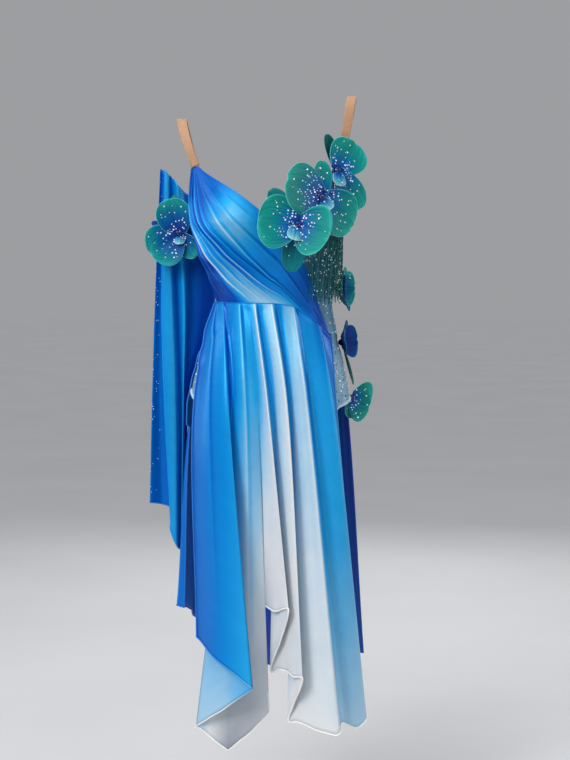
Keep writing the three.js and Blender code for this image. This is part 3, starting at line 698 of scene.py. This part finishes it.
# The back's dyes are darkest at the middle of its hem: painted shade for the inside that shows through
# the front's slit.
SKIRT_BACK = [
    (-118, (-139, 16), (-160, 8, -950), (0.20, 0.26, 0.28, 0.30)),
    (-124, (-141, 28), (-175, 22, -948), (0.24, 0.30, 0.32, 0.34)),
    (-130, (-132, 46), (-150, 50, -960), (0.22, 0.24, 0.26, 0.28)),
    (-136, (-130, 78), (-146, 98, -985), (0.26, 0.28, 0.28, 0.28)),
    (-143, (-110, 92), (-112, 110, -1005), (0.26, 0.26, 0.26, 0.26)),
    (-151, (-97, 121), (-95, 162, -1035), (0.32, 0.32, 0.30, 0.28)),
    (-160, (-70, 118), (-58, 138, -1060), (0.28, 0.26, 0.20, 0.16)),
    (-169, (-42, 140), (-30, 182, -1085), (0.34, 0.32, 0.24, 0.14)),
    (-178, (-10, 128), (8, 146, -1095), (0.30, 0.28, 0.20, 0.12)),
    (-188, (24, 144), (42, 184, -1090), (0.34, 0.32, 0.24, 0.14)),
    (-198, (52, 122), (72, 138, -1075), (0.28, 0.26, 0.22, 0.18)),
    (-208, (88, 129), (112, 166, -1062), (0.32, 0.32, 0.30, 0.28)),
    (-218, (104, 104), (126, 112, -1055), (0.26, 0.26, 0.26, 0.26)),
    (-227, (138, 98), (170, 120, -1052), (0.28, 0.28, 0.28, 0.28)),
    (-236, (136, 80), (160, 84, -1050), (0.22, 0.22, 0.22, 0.24)),
    (-245, (150, 66), (187, 58, -1050), (0.20, 0.20, 0.20, 0.22)),
]
DYE_LEVELS = [(0, 0), (0.5, 1), (0.75, 2), (1, 3)]
FRONT_CORNERS = (2, 4, 5, 7)        # stations where the front hem turns sharply
FRONT_PLEATS = (-90, -74, -57, -32, -15.7, -1.7, 15, 42, 57)
BACK_PLEATS = (-245, -227, -208, -188, -169, -151, -136, -124, -118)
PLEAT_HEIGHT = 3.6
PLEAT_EDGE = 0.2                    # share of the way to the next pleat that its steep side takes
PLEAT_FADE = [(0, 0.3), (0.015, 0.75), (0.05, 1), (0.25, 0.7), (0.55, 0.25), (0.9, 0)]
PLEAT_CURVE = 1.6
PAINTED_PLEAT_HIGHLIGHT, PAINTED_PLEAT_SHADE = 0.16, 0.24     # painted highlight along a crest, and painted shade on its steep side
LINE_WIDTH, PAINTED_SHADE_PLACE = 0.07, 0.11     # as shares of the way to the next pleat
# how strongly the painted pleat highlight and shade show, on the way down the skirt
LINE_FADE = [(0, 0.6), (0.04, 1), (0.4, 0.8), (0.75, 0.25), (0.95, 0)]
HEM_RADIUS, HEM_RIPPLE = 1.5, 3.2
RIPPLE_START, RIPPLE_SPAN = 0.94, 0.06  # the hem's waves begin this far down
HEM_LIFT = 0.8      # how far the waves rise and fall, as a share of how far they stand out
CROTCH = -600       # below this the cloth hangs clear of the figure


def clear_of_figure(point, out):
    """Moves hanging cloth outwards where it would sink into the figure."""
    if point.z < CROTCH:
        return point
    middle, half, front, back = section(point.z)
    depth = (front if point.y < 0 else back) + out
    reach = (abs(point.x - middle) / (half + out)) ** ROUNDNESS + (abs(point.y) / depth) ** ROUNDNESS
    if reach >= 1:
        return point
    push = reach ** (-1 / ROUNDNESS)
    return Vector((middle + (point.x - middle) * push, point.y * push, point.z))


def pleat_rise(turn, pleats):
    """A knife pleat: a sharp crest, a steep right side and a long rise to the next crest."""
    for left, right in zip(pleats, pleats[1:]):
        if left <= turn <= right:
            share = (turn - left) / (right - left)
            if share < PLEAT_EDGE:
                return 1 - eased(share / PLEAT_EDGE)
            return ((share - PLEAT_EDGE) / (1 - PLEAT_EDGE)) ** PLEAT_CURVE
    return 0


def painted_pleat_light(turn, pleats):
    """A painted highlight along a pleat's crest, less a painted shade on its steep side."""
    for left, right in zip(pleats, pleats[1:]):
        if left <= turn <= right:
            share = (turn - left) / (right - left)
            return (PAINTED_PLEAT_HIGHLIGHT * math.exp(-((1 - share) / LINE_WIDTH) ** 2)
                    - PAINTED_PLEAT_SHADE * math.exp(-((share - PAINTED_SHADE_PLACE) / LINE_WIDTH) ** 2))
    return 0


def hem_wave(column, down, pace, seed):
    """An uneven wave from one column of a hanging panel to the next."""
    return noise.noise(Vector((column * pace, down * 3, seed)))


def cornered_level(points, across, corners, sharp):
    """A level across a panel: smooth where sharp is 0, turning at its corners where it is 1."""
    level = smooth_through(points, (len(points) - 1) * across)
    if not corners or sharp <= 0:
        return level
    stops = [0, *corners, len(points) - 1]
    turned = [place for a, b in zip(stops, stops[1:])
              for place in smooth_through(points[a:b + 1], (b - a) * across)[:-1]]
    return [a.lerp(b, sharp) for a, b in zip(level, [*turned, points[-1]])]


def hanging_grid(stations, across, rows, pleats, corners=()):
    """Places and dye, with painted light, of a panel that hangs from the waist seam through the hip to
    its hem.
    """
    lines = [smooth_through([on_figure(turn, along_table(WAIST, turn), SATIN_OUT), (*hip, HIP), hem],
                            rows) for turn, hip, hem, _ in stations]
    count = (len(stations) - 1) * across
    turns = [between([row[0] for row in stations], i / across) for i in range(count + 1)]
    rises = [PLEAT_HEIGHT * pleat_rise(turn, pleats) for turn in turns]
    painted_pleat_lights = [painted_pleat_light(turn, pleats) for turn in turns]
    grid = [[] for _ in range(count + 1)]
    marks = [[] for _ in range(count + 1)]
    for j in range(rows + 1):
        down = j / rows
        level = cornered_level([line[j] for line in lines], across, corners,
                               eased(max(0, 2 * down - 1)))
        tones = [dye_and_light_at(row[3], DYE_LEVELS, down) for row in stations]
        fade, line_fade = along_table(PLEAT_FADE, down), along_table(LINE_FADE, down)
        ripple = HEM_RIPPLE * max(0, (down - RIPPLE_START) / RIPPLE_SPAN) ** 2
        for i, point in enumerate(level):
            facing = math.radians(turns[i])
            out = rises[i] * fade + ripple * hem_wave(i, down, 0.22, 7)
            lift = HEM_LIFT * ripple * hem_wave(i, down, 0.17, 21)
            point = clear_of_figure(point, SATIN_OUT + 1)
            grid[i].append(point + Vector((math.sin(facing), -math.cos(facing), 0)) * out
                           + Vector((0, 0, lift)))
            marks[i].append(max(0, between(tones, i / across) + painted_pleat_lights[i] * line_fade))
    return grid, marks


def rolled_hem(name, path, tones, paler=0.2):
    """A rolled, overlocked edge, paler than the satin that it closes."""
    hem = tube_along(name, path, HEM_RADIUS, [min(1, tone) * (1 + paler) for tone in tones])
    return finish_piece(hem, hem_thread)


def panel_outline(grid, marks):
    """The open edges of a hanging panel: down its left side, along its hem and up its right."""
    path = [*grid[0], *(column[-1] for column in grid[1:-1]), *reversed(grid[-1])]
    tones = [*marks[0], *(column[-1] for column in marks[1:-1]), *reversed(marks[-1])]
    return path, tones


skirt_front_places, skirt_front_dye_and_light = hanging_grid(SKIRT_FRONT, 10, 130, FRONT_PLEATS, FRONT_CORNERS)
skirt_front = lay_cloth("satin_skirt_front", skirt_front_places, skirt_front_dye_and_light)
finish_satin(skirt_front, "skirt_front")
front_hem = rolled_hem("hem_skirt_front", *panel_outline(skirt_front_places, skirt_front_dye_and_light))
skirt_back_places, skirt_back_dye_and_light = hanging_grid(SKIRT_BACK[::-1], 12, 110, BACK_PLEATS)
skirt_back = lay_cloth("satin_skirt_back", skirt_back_places, skirt_back_dye_and_light)
finish_satin(skirt_back, "skirt_back")
back_hem = rolled_hem("hem_skirt_back", *panel_outline(skirt_back_places, skirt_back_dye_and_light), 0)


# ---- Waist seam ---------------------------------------------------------------------------
# The bodice and the skirt are sewn together over a thin cord of the same satin, which the
# pleats are caught under.

SEAM_CORD = 1.1
SEAM_START, SEAM_STOP, SEAM_STEPS = -90, 57, 120

seam_turns = [SEAM_START + (SEAM_STOP - SEAM_START) * k / SEAM_STEPS for k in range(SEAM_STEPS + 1)]
seam_dye_and_shade = [(row[0], min(0.5, row[3][0])) for row in SKIRT_FRONT]
seam_cord = tube_along(
    "waist_seam_cord",
    [on_figure(turn, along_table(WAIST, turn) + 0.6, SATIN_OUT - 0.5) for turn in seam_turns],
    SEAM_CORD, [along_table(seam_dye_and_shade, turn) for turn in seam_turns])
finish_piece(seam_cord, satin)


# ---- Trailing sleeve ----------------------------------------------------------------------
# One long piece of the satin, folded like a fan under the sleeve orchid and left to hang to the
# knee. Its outer strip shows the darker side, with small stones.

SLEEVE_WAIST, SLEEVE_HIP = -360, -550
# The pale dyes on the crests of the flutes are painted highlights, and the dark dyes of the inner return
# next to the bodice are painted shade.
SLEEVE = [      # top, place at the waist, place at the hip, hem, dye with painted light in it
    ((-127.4, 58.6, -160), (-102, 62), (-152, 50), (-150, 62, -858), 0.12),
    ((-144, 55, -162), (-124, 58), (-155, 44), (-156, 52, -857), 0.14),
    ((-157, 50, -155), (-146, 54), (-158, 40), (-160, 48, -855), 0.26),
    ((-171, 40, -139), (-159, 36), (-161, 28), (-167, 36, -850), 0.58),
    ((-184, 52, -124), (-174, 54), (-167, 46), (-169, 54, -845), 0.32),
    ((-190, 42, -118), (-183, 36), (-177, 26), (-175, 36, -836), 0.62),
    ((-196, 44, -111), (-203, 38), (-199, 30), (-188, 40, -800), 0.42),
    ((-194, 52, -114), (-196, 50), (-189, 44), (-181, 54, -768), 0.22),
    ((-200, 58, -112), (-206, 56), (-207, 50), (-204, 62, -757), 0.32),
    ((-205, 54, -110), (-216, 50), (-222, 42), (-228, 50, -752), 0.34),
    ((-198, 72, -130), (-206, 74), (-212, 70), (-214, 84, -756), 0.26),
    ((-176, 82, -150), (-180, 92), (-188, 88), (-190, 100, -765), 0.22),
]
SLEEVE_ACROSS = 10
OUTER_STRIP = (8, 10)       # the stations between which the small stones are
STRIP_STONES, STRIP_STONE_RADIUS = 90, (0.6, 1.0)


def sleeve_grid(rows=120):
    lines = [smooth_through([top, (*waist, SLEEVE_WAIST), (*hip, SLEEVE_HIP), hem], rows)
             for top, waist, hip, hem, _ in SLEEVE]
    count = (len(SLEEVE) - 1) * SLEEVE_ACROSS
    tones = [row[4] for row in SLEEVE]
    grid = [[] for _ in range(count + 1)]
    marks = [[between(tones, (count - i) / SLEEVE_ACROSS)] * (rows + 1) for i in range(count + 1)]
    for j in range(rows + 1):
        for i, point in enumerate(smooth_through([line[j] for line in lines], count)):
            grid[count - i].append(point)
    return grid, marks


sleeve_places, sleeve_dye_and_light = sleeve_grid()
sleeve = lay_cloth("satin_sleeve", sleeve_places, sleeve_dye_and_light)
finish_satin(sleeve, "sleeve_drape")
sleeve_hem = rolled_hem("hem_sleeve", *panel_outline(sleeve_places, sleeve_dye_and_light))
outer_strip = sleeve_places[-OUTER_STRIP[1] * SLEEVE_ACROSS - 1:-OUTER_STRIP[0] * SLEEVE_ACROSS]
set_stones("sleeve_stones", scatter_on(outer_strip, STRIP_STONES, 31), clear_stone, 8,
           STRIP_STONE_RADIUS)


# ---- Bead fringe --------------------------------------------------------------------------
# Strands of bugle and seed beads on thread, sewn close along a narrow band of dark tape under the
# bust orchids. The band lies on the bodysuit and the strands hang straight down, clear of it.

FRINGE_TURNS = (27, 80)
FRINGE_TOP, BAND_HEIGHT, BAND_OUT, BAND_THICK = -240, 7, 2.9, 2.2
BAND_COLUMNS, BAND_ROWS = 40, 4
STRANDS, STRAND_LENGTH, STRAND_LONGER = 46, 108, 14
BEAD_LENGTH, BEAD_RADIUS, BEAD_GAP = 3.6, 0.62, 0.3
STRAND_INSET, STRAND_SWAY = 1.1, 0.6
STRAND_TONES = (0.02, 0.18, 0.08, 0.34, 0.05)
GLINT_SHARE, GLINT_WIDE, GLINT_LONG = 0.07, 1.3, 0.45      # round white beads among the bugles, standing in for glints: painted glints


def fringe_root(share):
    turn = FRINGE_TURNS[0] + (FRINGE_TURNS[1] - FRINGE_TURNS[0]) * share
    return on_figure(turn, FRINGE_TOP, MESH_CLOTH + BAND_OUT)


def bead_material():
    """Dark teal glass; the attribute dye goes from near black at 0 to white at 1, a painted glint."""
    material, tree, shader = new_material("glass_beads")
    swirl = noise_at(tree, object_place(tree), Scale=900, Detail=2)
    mottled = calculate(tree, "MULTIPLY_ADD", swirl, 0.16, dye_and_light_mark(tree))
    shades = colour_ramp(tree, mottled, [
        (0.0, (0.0, 0.016, 0.022)), (0.4, (0.0, 0.070, 0.070)), (0.75, (0.0, 0.24, 0.20)),
        (0.92, (0.20, 0.62, 0.54)), (1.0, (0.92, 1.0, 0.98))])
    set_sockets(tree, shader, {"Base Color": shades, "Roughness": 0.25, "Specular IOR Level": 0.25,
                               "Specular Tint": (0.2, 0.9, 0.8, 1)})
    return material


def make_fringe_beads(material):
    """Hangs the strands bead by bead; they vary a little in length, in tone and in how they hang."""
    pick = random.Random(17)
    bm = bmesh.new()
    bead_tone = bm.verts.layers.float.new("dye")
    for k in range(STRANDS):
        root = fringe_root((k + 0.5) / STRANDS)
        inward = Vector((-root.x, -root.y, 0)).normalized() * STRAND_INSET
        length = STRAND_LENGTH + STRAND_LONGER * math.sin(k * 2.4) ** 2
        strand_tone = STRAND_TONES[k % len(STRAND_TONES)] + pick.uniform(-0.04, 0.08)
        first = pick.uniform(0, BEAD_LENGTH)
        for n in range(int((length - first) / (BEAD_LENGTH + BEAD_GAP))):
            height = root.z - BAND_HEIGHT / 2 - first - (n + 0.5) * (BEAD_LENGTH + BEAD_GAP)
            sway = noise.noise(Vector((k * 0.7, n * 0.12, 3))) * STRAND_SWAY
            where = Vector((root.x + inward.x + sway, root.y + inward.y, height)) * MM
            glint = pick.random() < GLINT_SHARE
            radius = BEAD_RADIUS * (GLINT_WIDE if glint else 1) * MM
            made = bmesh.ops.create_cone(
                bm, cap_ends=True, segments=6, radius1=radius, radius2=radius,
                depth=BEAD_LENGTH * (GLINT_LONG if glint else 1) * MM,
                matrix=Matrix.Translation(where) @ Matrix.Rotation(k * 0.9 + n, 4, "Z"))
            for vert in made["verts"]:
                vert[bead_tone] = 0.9 if glint else strand_tone + 0.10 * (n % 3)
    return finish_piece(as_piece("fringe_beads", bm), material)


fringe_beads = make_fringe_beads(bead_material())
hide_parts("bead_fringe")

fringe_tape = woven_material(
    "fringe_tape", 1000, [(0.2, (0.0, 0.025, 0.035)), (0.8, (0.0, 0.05, 0.06))], 0.0003,
    {"Roughness": 0.8, "Specular IOR Level": 0.15})
band_grid = [[fringe_root(i / BAND_COLUMNS) - Vector((0, 0, BAND_HEIGHT * j / BAND_ROWS))
              for j in range(BAND_ROWS + 1)] for i in range(BAND_COLUMNS + 1)]
fringe_band = lay_cloth("fringe_band", band_grid)
give_wall(fringe_band, BAND_THICK)
finish_piece(fringe_band, fringe_tape)


# ---- Orchids ------------------------------------------------------------------------------
# Starched and hot-pressed petals with a wired rim, sprayed from a navy heart to turquoise. They
# are sewn round a cluster of navy beads, dotted with clear stones, and bound into a short stem
# behind, which is sewn down to the dress.

PETAL, RIM_WIRE, HEART, STEM = 1.4, 0.7, 7, 4
RUFFLE, CHANNEL = 0.018, 0.025      # of the rim and the pressed middle line, as shares of the width
ORCHIDS = {     # centre, facing, the place where its stem is sewn down, and its petals: angle, length,
                # width, lean, cup and how it is sprayed
    "orchid_bust_left": ((57, -155, -221), (0.12, -1, 0.05), (53.9, -129.0, -222.3), [
        (-82, 74, 96, -4, 9, "petal"), (113, 66, 94, 24, 9, "petal"), (196, 34, 30, 34, -6, "lip"),
        (188, 86, 42, -12, 4, "shade"), (-36, 84, 36, -14, 3, "shade")]),
    "orchid_bust_right": ((100, -120, -172), (0.66, -1, 0.05), (88.9, -103.2, -172.8), [
        (-72, 98, 90, 12, 1, "petal"), (124, 88, 86, -6, 8, "petal"), (2, 70, 40, -2, 4, "petal"),
        (145, 28, 26, 36, -5, "lip")]),
    "orchid_strap": ((130, -63, -119), (0.5, -1, 0.15), (124.6, -52.3, -120.6), [
        (38, 66, 78, 2, 7, "petal"), (144, 86, 50, -4, 6, "petal"), (-10, 72, 24, -8, 2, "leaf"),
        (124, 82, 22, -12, 3, "shade"), (175, 34, 24, 24, -4, "lip")]),
    "orchid_sleeve": ((-167, 24, -235), (-0.1, -1, 0), (-165.8, 38.2, -235.0), [
        (-14, 72, 66, 8, 7, "blue"), (-127, 68, 84, 12, 7, "blue"), (143, 54, 38, -4, 4, "blue"),
        (-67, 62, 16, -12, 2, "navy"), (-9, 80, 22, -14, 2, "shade"), (175, 22, 20, 34, -4, "lip")]),
    "orchid_hip_upper": ((136, 20, -338), (1, -0.15, 0), (127.0, 21.3, -338.0), [
        (0, 44, 34, 12, 5, "blue"), (-84, 44, 46, 18, 6, "navy"), (92, 34, 66, 56, 5, "blue"),
        (180, 48, 36, 22, 5, "navy")]),
    "orchid_hip_middle": ((142, 18, -440), (1, -0.1, 0.1), (135.7, 18.6, -440.6), [
        (0, 44, 34, 14, 4, "navy"), (-80, 42, 42, 8, 5, "navy"), (90, 36, 62, 50, 5, "navy"),
        (178, 86, 26, 8, 3, "leaf")]),
    "orchid_hip_lower": ((162, 38, -548), (0.5, -0.87, 0), (153.0, 37.1, -548.0), [
        (112, 40, 80, 10, 6, "petal"), (188, 40, 30, 0, 3, "shade")]),
}
WIRED = 1.25    # the attribute dye is 0 at a petal's heart, 1 at its rim and this on the rim's wire
SPRAYS = {      # colours from the heart at 0 to the rim at 1, and the wired rim itself at the end
    "petal": [(0.0, (0.0, 0.01, 0.08)), (0.18, (0.0, 0.05, 0.28)), (0.34, (0.0, 0.12, 0.38)),
              (0.48, (0.0, 0.17, 0.30)), (0.62, (0.0, 0.22, 0.24)), (0.9, (0.004, 0.29, 0.24)),
              (1.0, (0.02, 0.39, 0.33)), (WIRED, (0.12, 0.58, 0.52))],
    "blue": [(0.0, (0.0, 0.01, 0.10)), (0.3, (0.0, 0.05, 0.28)), (0.58, (0.0, 0.12, 0.32)),
             (0.78, (0.0, 0.20, 0.26)), (1.0, (0.01, 0.34, 0.31)), (WIRED, (0.12, 0.56, 0.52))],
    "shade": [(0.0, (0.0, 0.012, 0.10)), (0.3, (0.0, 0.06, 0.21)), (0.6, (0.0, 0.13, 0.18)),
              (1.0, (0.0, 0.20, 0.19)), (WIRED, (0.02, 0.35, 0.31))],
    "navy": [(0.0, (0.0, 0.004, 0.06)), (0.5, (0.0, 0.02, 0.20)), (1.0, (0.0, 0.06, 0.30)),
             (WIRED, (0.02, 0.24, 0.42))],
    "leaf": [(0.0, (0.0, 0.02, 0.03)), (0.6, (0.0, 0.06, 0.06)), (1.0, (0.0, 0.10, 0.09)),
             (WIRED, (0.01, 0.20, 0.17))],
    "lip": [(0.0, (0.0, 0.02, 0.25)), (0.4, (0.0, 0.14, 0.40)), (0.8, (0.10, 0.42, 0.52)),
            (1.0, (0.28, 0.62, 0.66)), (WIRED, (0.50, 0.78, 0.80))],
}


def petal_grid(centre, facing, shape, across=28, steps=26):
    """Places and tones of a petal's face: its tone is 0 at the heart and 1 at the rim."""
    angle, length, width, lean, cup, _ = shape
    right = facing.cross(Vector((0, 0, 1))).normalized() * -1
    up = facing.cross(right).normalized()
    flat = up * math.cos(math.radians(angle)) + right * math.sin(math.radians(angle))
    side = flat.cross(facing).normalized()
    along = flat * math.cos(math.radians(lean)) + facing * math.sin(math.radians(lean))
    face = side.cross(along).normalized()
    grid, marks = [], []
    for i in range(across + 1):
        reach = 1 - 2 * i / across
        column, tones = [], []
        for j in range(steps + 1):
            share = j / steps
            round_share = 0.03 + 0.95 * share**1.3
            fullness = math.sqrt(1 - (2 * round_share - 1) ** 2)
            bend = cup * (reach**2 * fullness**2 + share**3 * 0.6)
            rim = max(abs(reach), share) ** 4
            ruffle = rim * width * RUFFLE * math.sin(reach * 4.5 + share * 4 + angle)
            channel = -CHANNEL * width * math.exp(-(reach * 5) ** 2) * math.sin(math.pi * share)
            column.append(centre + along * length * (share - 0.03) + side * width / 2 * fullness * reach
                          + face * (bend + ruffle + channel + PETAL))
            tones.append(min(1, math.hypot(share, reach * fullness * width / length / 2)))
        grid.append(column)
        marks.append(tones)
    return grid, marks


def petal_material(name, spray):
    """Sprayed petal cloth with pressed veins; the attribute dye goes from the heart to the rim."""
    material, tree, shader = new_material(name)
    cloud = noise_at(tree, object_place(tree), Scale=48, Detail=4)
    fan = add_node(tree, "ShaderNodeMapping", Scale=(1, 0.06, 1), Vector=cloth_place(tree))
    streaks = noise_at(tree, fan.outputs[0], Scale=330, Detail=3)
    blown = calculate(tree, "MULTIPLY_ADD", cloud, 0.22, dye_and_light_mark(tree))
    streaked = calculate(tree, "MULTIPLY_ADD", streaks, 0.30, blown)
    spread = calculate(tree, "MULTIPLY_ADD", streaked, 1 / WIRED, -0.26 / WIRED)
    shades = colour_ramp(tree, spread, [(stop / WIRED, colour) for stop, colour in spray])
    veins = colour_ramp(tree, streaks, [(0.36, (0.62, 0.70, 0.80)), (0.50, (1, 1, 1))])
    veined = add_node(tree, "ShaderNodeMix", data_type="RGBA", blend_type="MULTIPLY",
                      Factor=0.8, A=shades, B=veins)
    threads, _ = add_weave(tree, 1100)
    add_bumps(tree, shader, (streaks, 0.4, 0.001), (threads, 0.15, 0.0002))
    set_sockets(tree, shader, {"Base Color": veined.outputs["Result"], "Roughness": 0.48,
                               "Specular IOR Level": 0.14})
    return material


petal_cloths = {kind: petal_material(f"petal_cloth_{kind}", spray) for kind, spray in SPRAYS.items()}
heart_bead = stone_material("heart_bead", (0.02, 0.05, 0.30), 0)
HEART_BEADS, HEART_SPREAD, HEART_BEAD_RADIUS = 34, 1.1, (1.2, 1.9)
PETAL_STONE_RADIUS = (0.8, 2.2)
STONE_AREA, STONE_SPACING = 135, 3.4    # petal's room for each stone, and the least from one to the next
UNDOTTED = ("leaf", "navy")


def petal_stones(grid, shape, pick, taken):
    """Stones on a petal's face, close together near the heart and never one on another."""
    places = []
    for _ in range(int(shape[1] * shape[2] / STONE_AREA)):
        i = pick.randrange(3, len(grid) - 3)
        j = 3 + int(abs(pick.gauss(0, 0.33)) * len(grid[0]))
        if j > len(grid[0]) - 4:
            continue
        if all((grid[i][j] - other).length > STONE_SPACING for other in taken):
            taken.append(grid[i][j])
            places.append(outward_at(grid, i, j))
    return places


def finish_bound(name, bm, spray):
    """A part of an orchid that is wound in its darkest cloth."""
    tone = bm.verts.layers.float.new("dye")
    for vert in bm.verts:
        vert[tone] = 0
    for face in bm.faces:
        face.smooth = len(face.verts) <= 4
    bound = as_piece(name, bm)
    bound.data.uv_layers.new(name="cloth")
    finish_piece(bound, petal_cloths[spray])


def make_heart(name, centre, facing, pick):
    """A ball of navy beads, sewn over the roots of the petals."""
    aside = facing.cross(Vector((0, 0, 1))).normalized()
    places = []
    for _ in range(HEART_BEADS):
        way = (facing + aside * pick.uniform(-HEART_SPREAD, HEART_SPREAD)
               + facing.cross(aside) * pick.uniform(-HEART_SPREAD, HEART_SPREAD)).normalized()
        places.append((centre + way * (HEART - 0.6), way))
    set_stones(f"{name}_heart_beads", places, heart_bead, 3, HEART_BEAD_RADIUS)
    bm = bmesh.new()
    bmesh.ops.create_uvsphere(bm, u_segments=20, v_segments=12, radius=(HEART - 0.5) * MM)
    bmesh.ops.transform(bm, matrix=Matrix.Translation(centre * MM), verts=bm.verts)
    finish_bound(f"{name}_heart", bm, "navy")


def make_stem(name, centre, sewn):
    """The wires of the petals, bound together with tape and sewn down to the dress."""
    way = sewn - centre
    bm = bmesh.new()
    bmesh.ops.create_cone(bm, cap_ends=True, segments=16, radius1=STEM * MM, radius2=STEM * 0.8 * MM,
                          depth=way.length * MM, matrix=Matrix.Translation((centre + sewn) / 2 * MM)
                          @ way.to_track_quat("Z", "Y").to_matrix().to_4x4())
    finish_bound(f"{name}_stem", bm, "leaf")


def make_petal(name, k, centre, facing, shape):
    """One walled petal with the wire that is rolled into its rim."""
    grid, tones = petal_grid(centre, facing, shape)
    cloth = petal_cloths[shape[5]]
    petal = lay_cloth(f"{name}_petal_{k}", grid, tones)
    give_wall(petal, PETAL)
    finish_piece(petal, cloth)
    path, _ = panel_outline(grid, tones)
    rim = tube_along(f"{name}_rim_{k}", [point - facing * PETAL / 2 for point in path], RIM_WIRE,
                     [WIRED] * len(path), sides=6)
    finish_piece(rim, cloth)
    return petal, grid


def make_orchid(name, centre, facing, sewn, shapes, seed):
    """Sews the petals, the heart and the stem of one orchid and dots it with stones."""
    centre, facing = Vector(centre), Vector(facing).normalized()
    pick = random.Random(seed)
    stone_places, taken = [], []
    for k, shape in enumerate(shapes):
        petal, grid = make_petal(name, k, centre, facing, shape)
        if k == 0:
            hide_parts(name)
        if shape[5] not in UNDOTTED:
            stone_places += petal_stones(grid, shape, pick, taken)
    make_heart(name, centre, facing, pick)
    make_stem(name, centre, Vector(sewn))
    if stone_places:
        set_stones(f"{name}_stones", stone_places, clear_stone, seed,
                   PETAL_STONE_RADIUS)


FIRST_SEED = 40

for seed, (name, (centre, facing, sewn, shapes)) in enumerate(ORCHIDS.items()):
    make_orchid(name, centre, facing, sewn, shapes, FIRST_SEED + seed)


# ---- Set ----------------------------------------------------------------------------------
# A pale floor well under the hem, a soft sun from the upper left, and large lights: a key from the
# left, a fill from the right, a strip on each side for the satin's edges, one above, one behind.

FLOOR_HEIGHT, FLOOR_RADIUS = -1.36, 30

bm = bmesh.new()
bmesh.ops.create_circle(bm, cap_ends=True, segments=96, radius=FLOOR_RADIUS)
bmesh.ops.transform(bm, matrix=Matrix.Translation((0, 0, FLOOR_HEIGHT)), verts=bm.verts)
floor = as_piece("floor", bm)
floor_material, floor_tree, floor_shader = new_material("pale_floor")
floor_cloud = noise_at(floor_tree, object_place(floor_tree), Scale=2, Detail=3)
floor_shades = colour_ramp(floor_tree, floor_cloud,
                           [(0.3, (0.60, 0.60, 0.61)), (0.7, (0.63, 0.63, 0.64))])
set_sockets(floor_tree, floor_shader, {"Base Color": floor_shades, "Roughness": 0.9,
                                       "Specular IOR Level": 0.1})
floor.data.materials.append(floor_material)

LIGHTS = [      # name, place, size across and down, power
    ("key", (-1.9, -2.4, 1.0), (0.9, 1.6), 46),
    ("fill", (2.3, -2.2, 0.1), (0.9, 1.6), 12),
    ("left_strip", (-2.1, 0.4, 0.0), (0.4, 1.6), 7),
    ("right_strip", (2.2, 0.5, 0.0), (0.4, 1.6), 16),
    ("top", (0.0, 0.3, 1.9), (1.6, 1.2), 16),
    ("back", (0.4, 3.0, 0.6), (1.6, 1.6), 24),
]
for name, place, (wide, high), power in LIGHTS:
    data = bpy.data.lights.new(name, "AREA")
    data.shape = "RECTANGLE"
    data.size, data.size_y = wide, high
    data.energy = power
    lamp = bpy.data.objects.new(name, data)
    bpy.context.collection.objects.link(lamp)
    lamp.location = place
    lamp.rotation_euler = (AIM - Vector(place)).to_track_quat("-Z", "Y").to_euler()

sun = bpy.data.lights.new("soft_sun", "SUN")
sun.energy = 1.5
sun.angle = math.radians(50)
sun_lamp = bpy.data.objects.new("soft_sun", sun)
bpy.context.collection.objects.link(sun_lamp)
sun_lamp.rotation_euler = Vector((0.5, 0.75, -1.0)).to_track_quat("-Z", "Y").to_euler()

world = bpy.data.worlds.new("studio")
bpy.context.scene.world = world
world.use_nodes = True
studio = world.node_tree
glow = studio.nodes["Background"]
set_sockets(studio, glow, {"Color": (0.80, 0.84, 0.90, 1), "Strength": 0.24})
backdrop = add_node(studio, "ShaderNodeBackground", Color=(0.338, 0.341, 0.355, 1), Strength=1)
seen = add_node(studio, "ShaderNodeLightPath")
either = add_node(studio, "ShaderNodeMixShader")
set_sockets(studio, either, {"Fac": seen.outputs["Is Camera Ray"], 1: glow.outputs[0],
                             2: backdrop.outputs[0]})
set_sockets(studio, studio.nodes["World Output"], {"Surface": either.outputs[0]})
bpy.context.scene.view_settings.view_transform = "Standard"
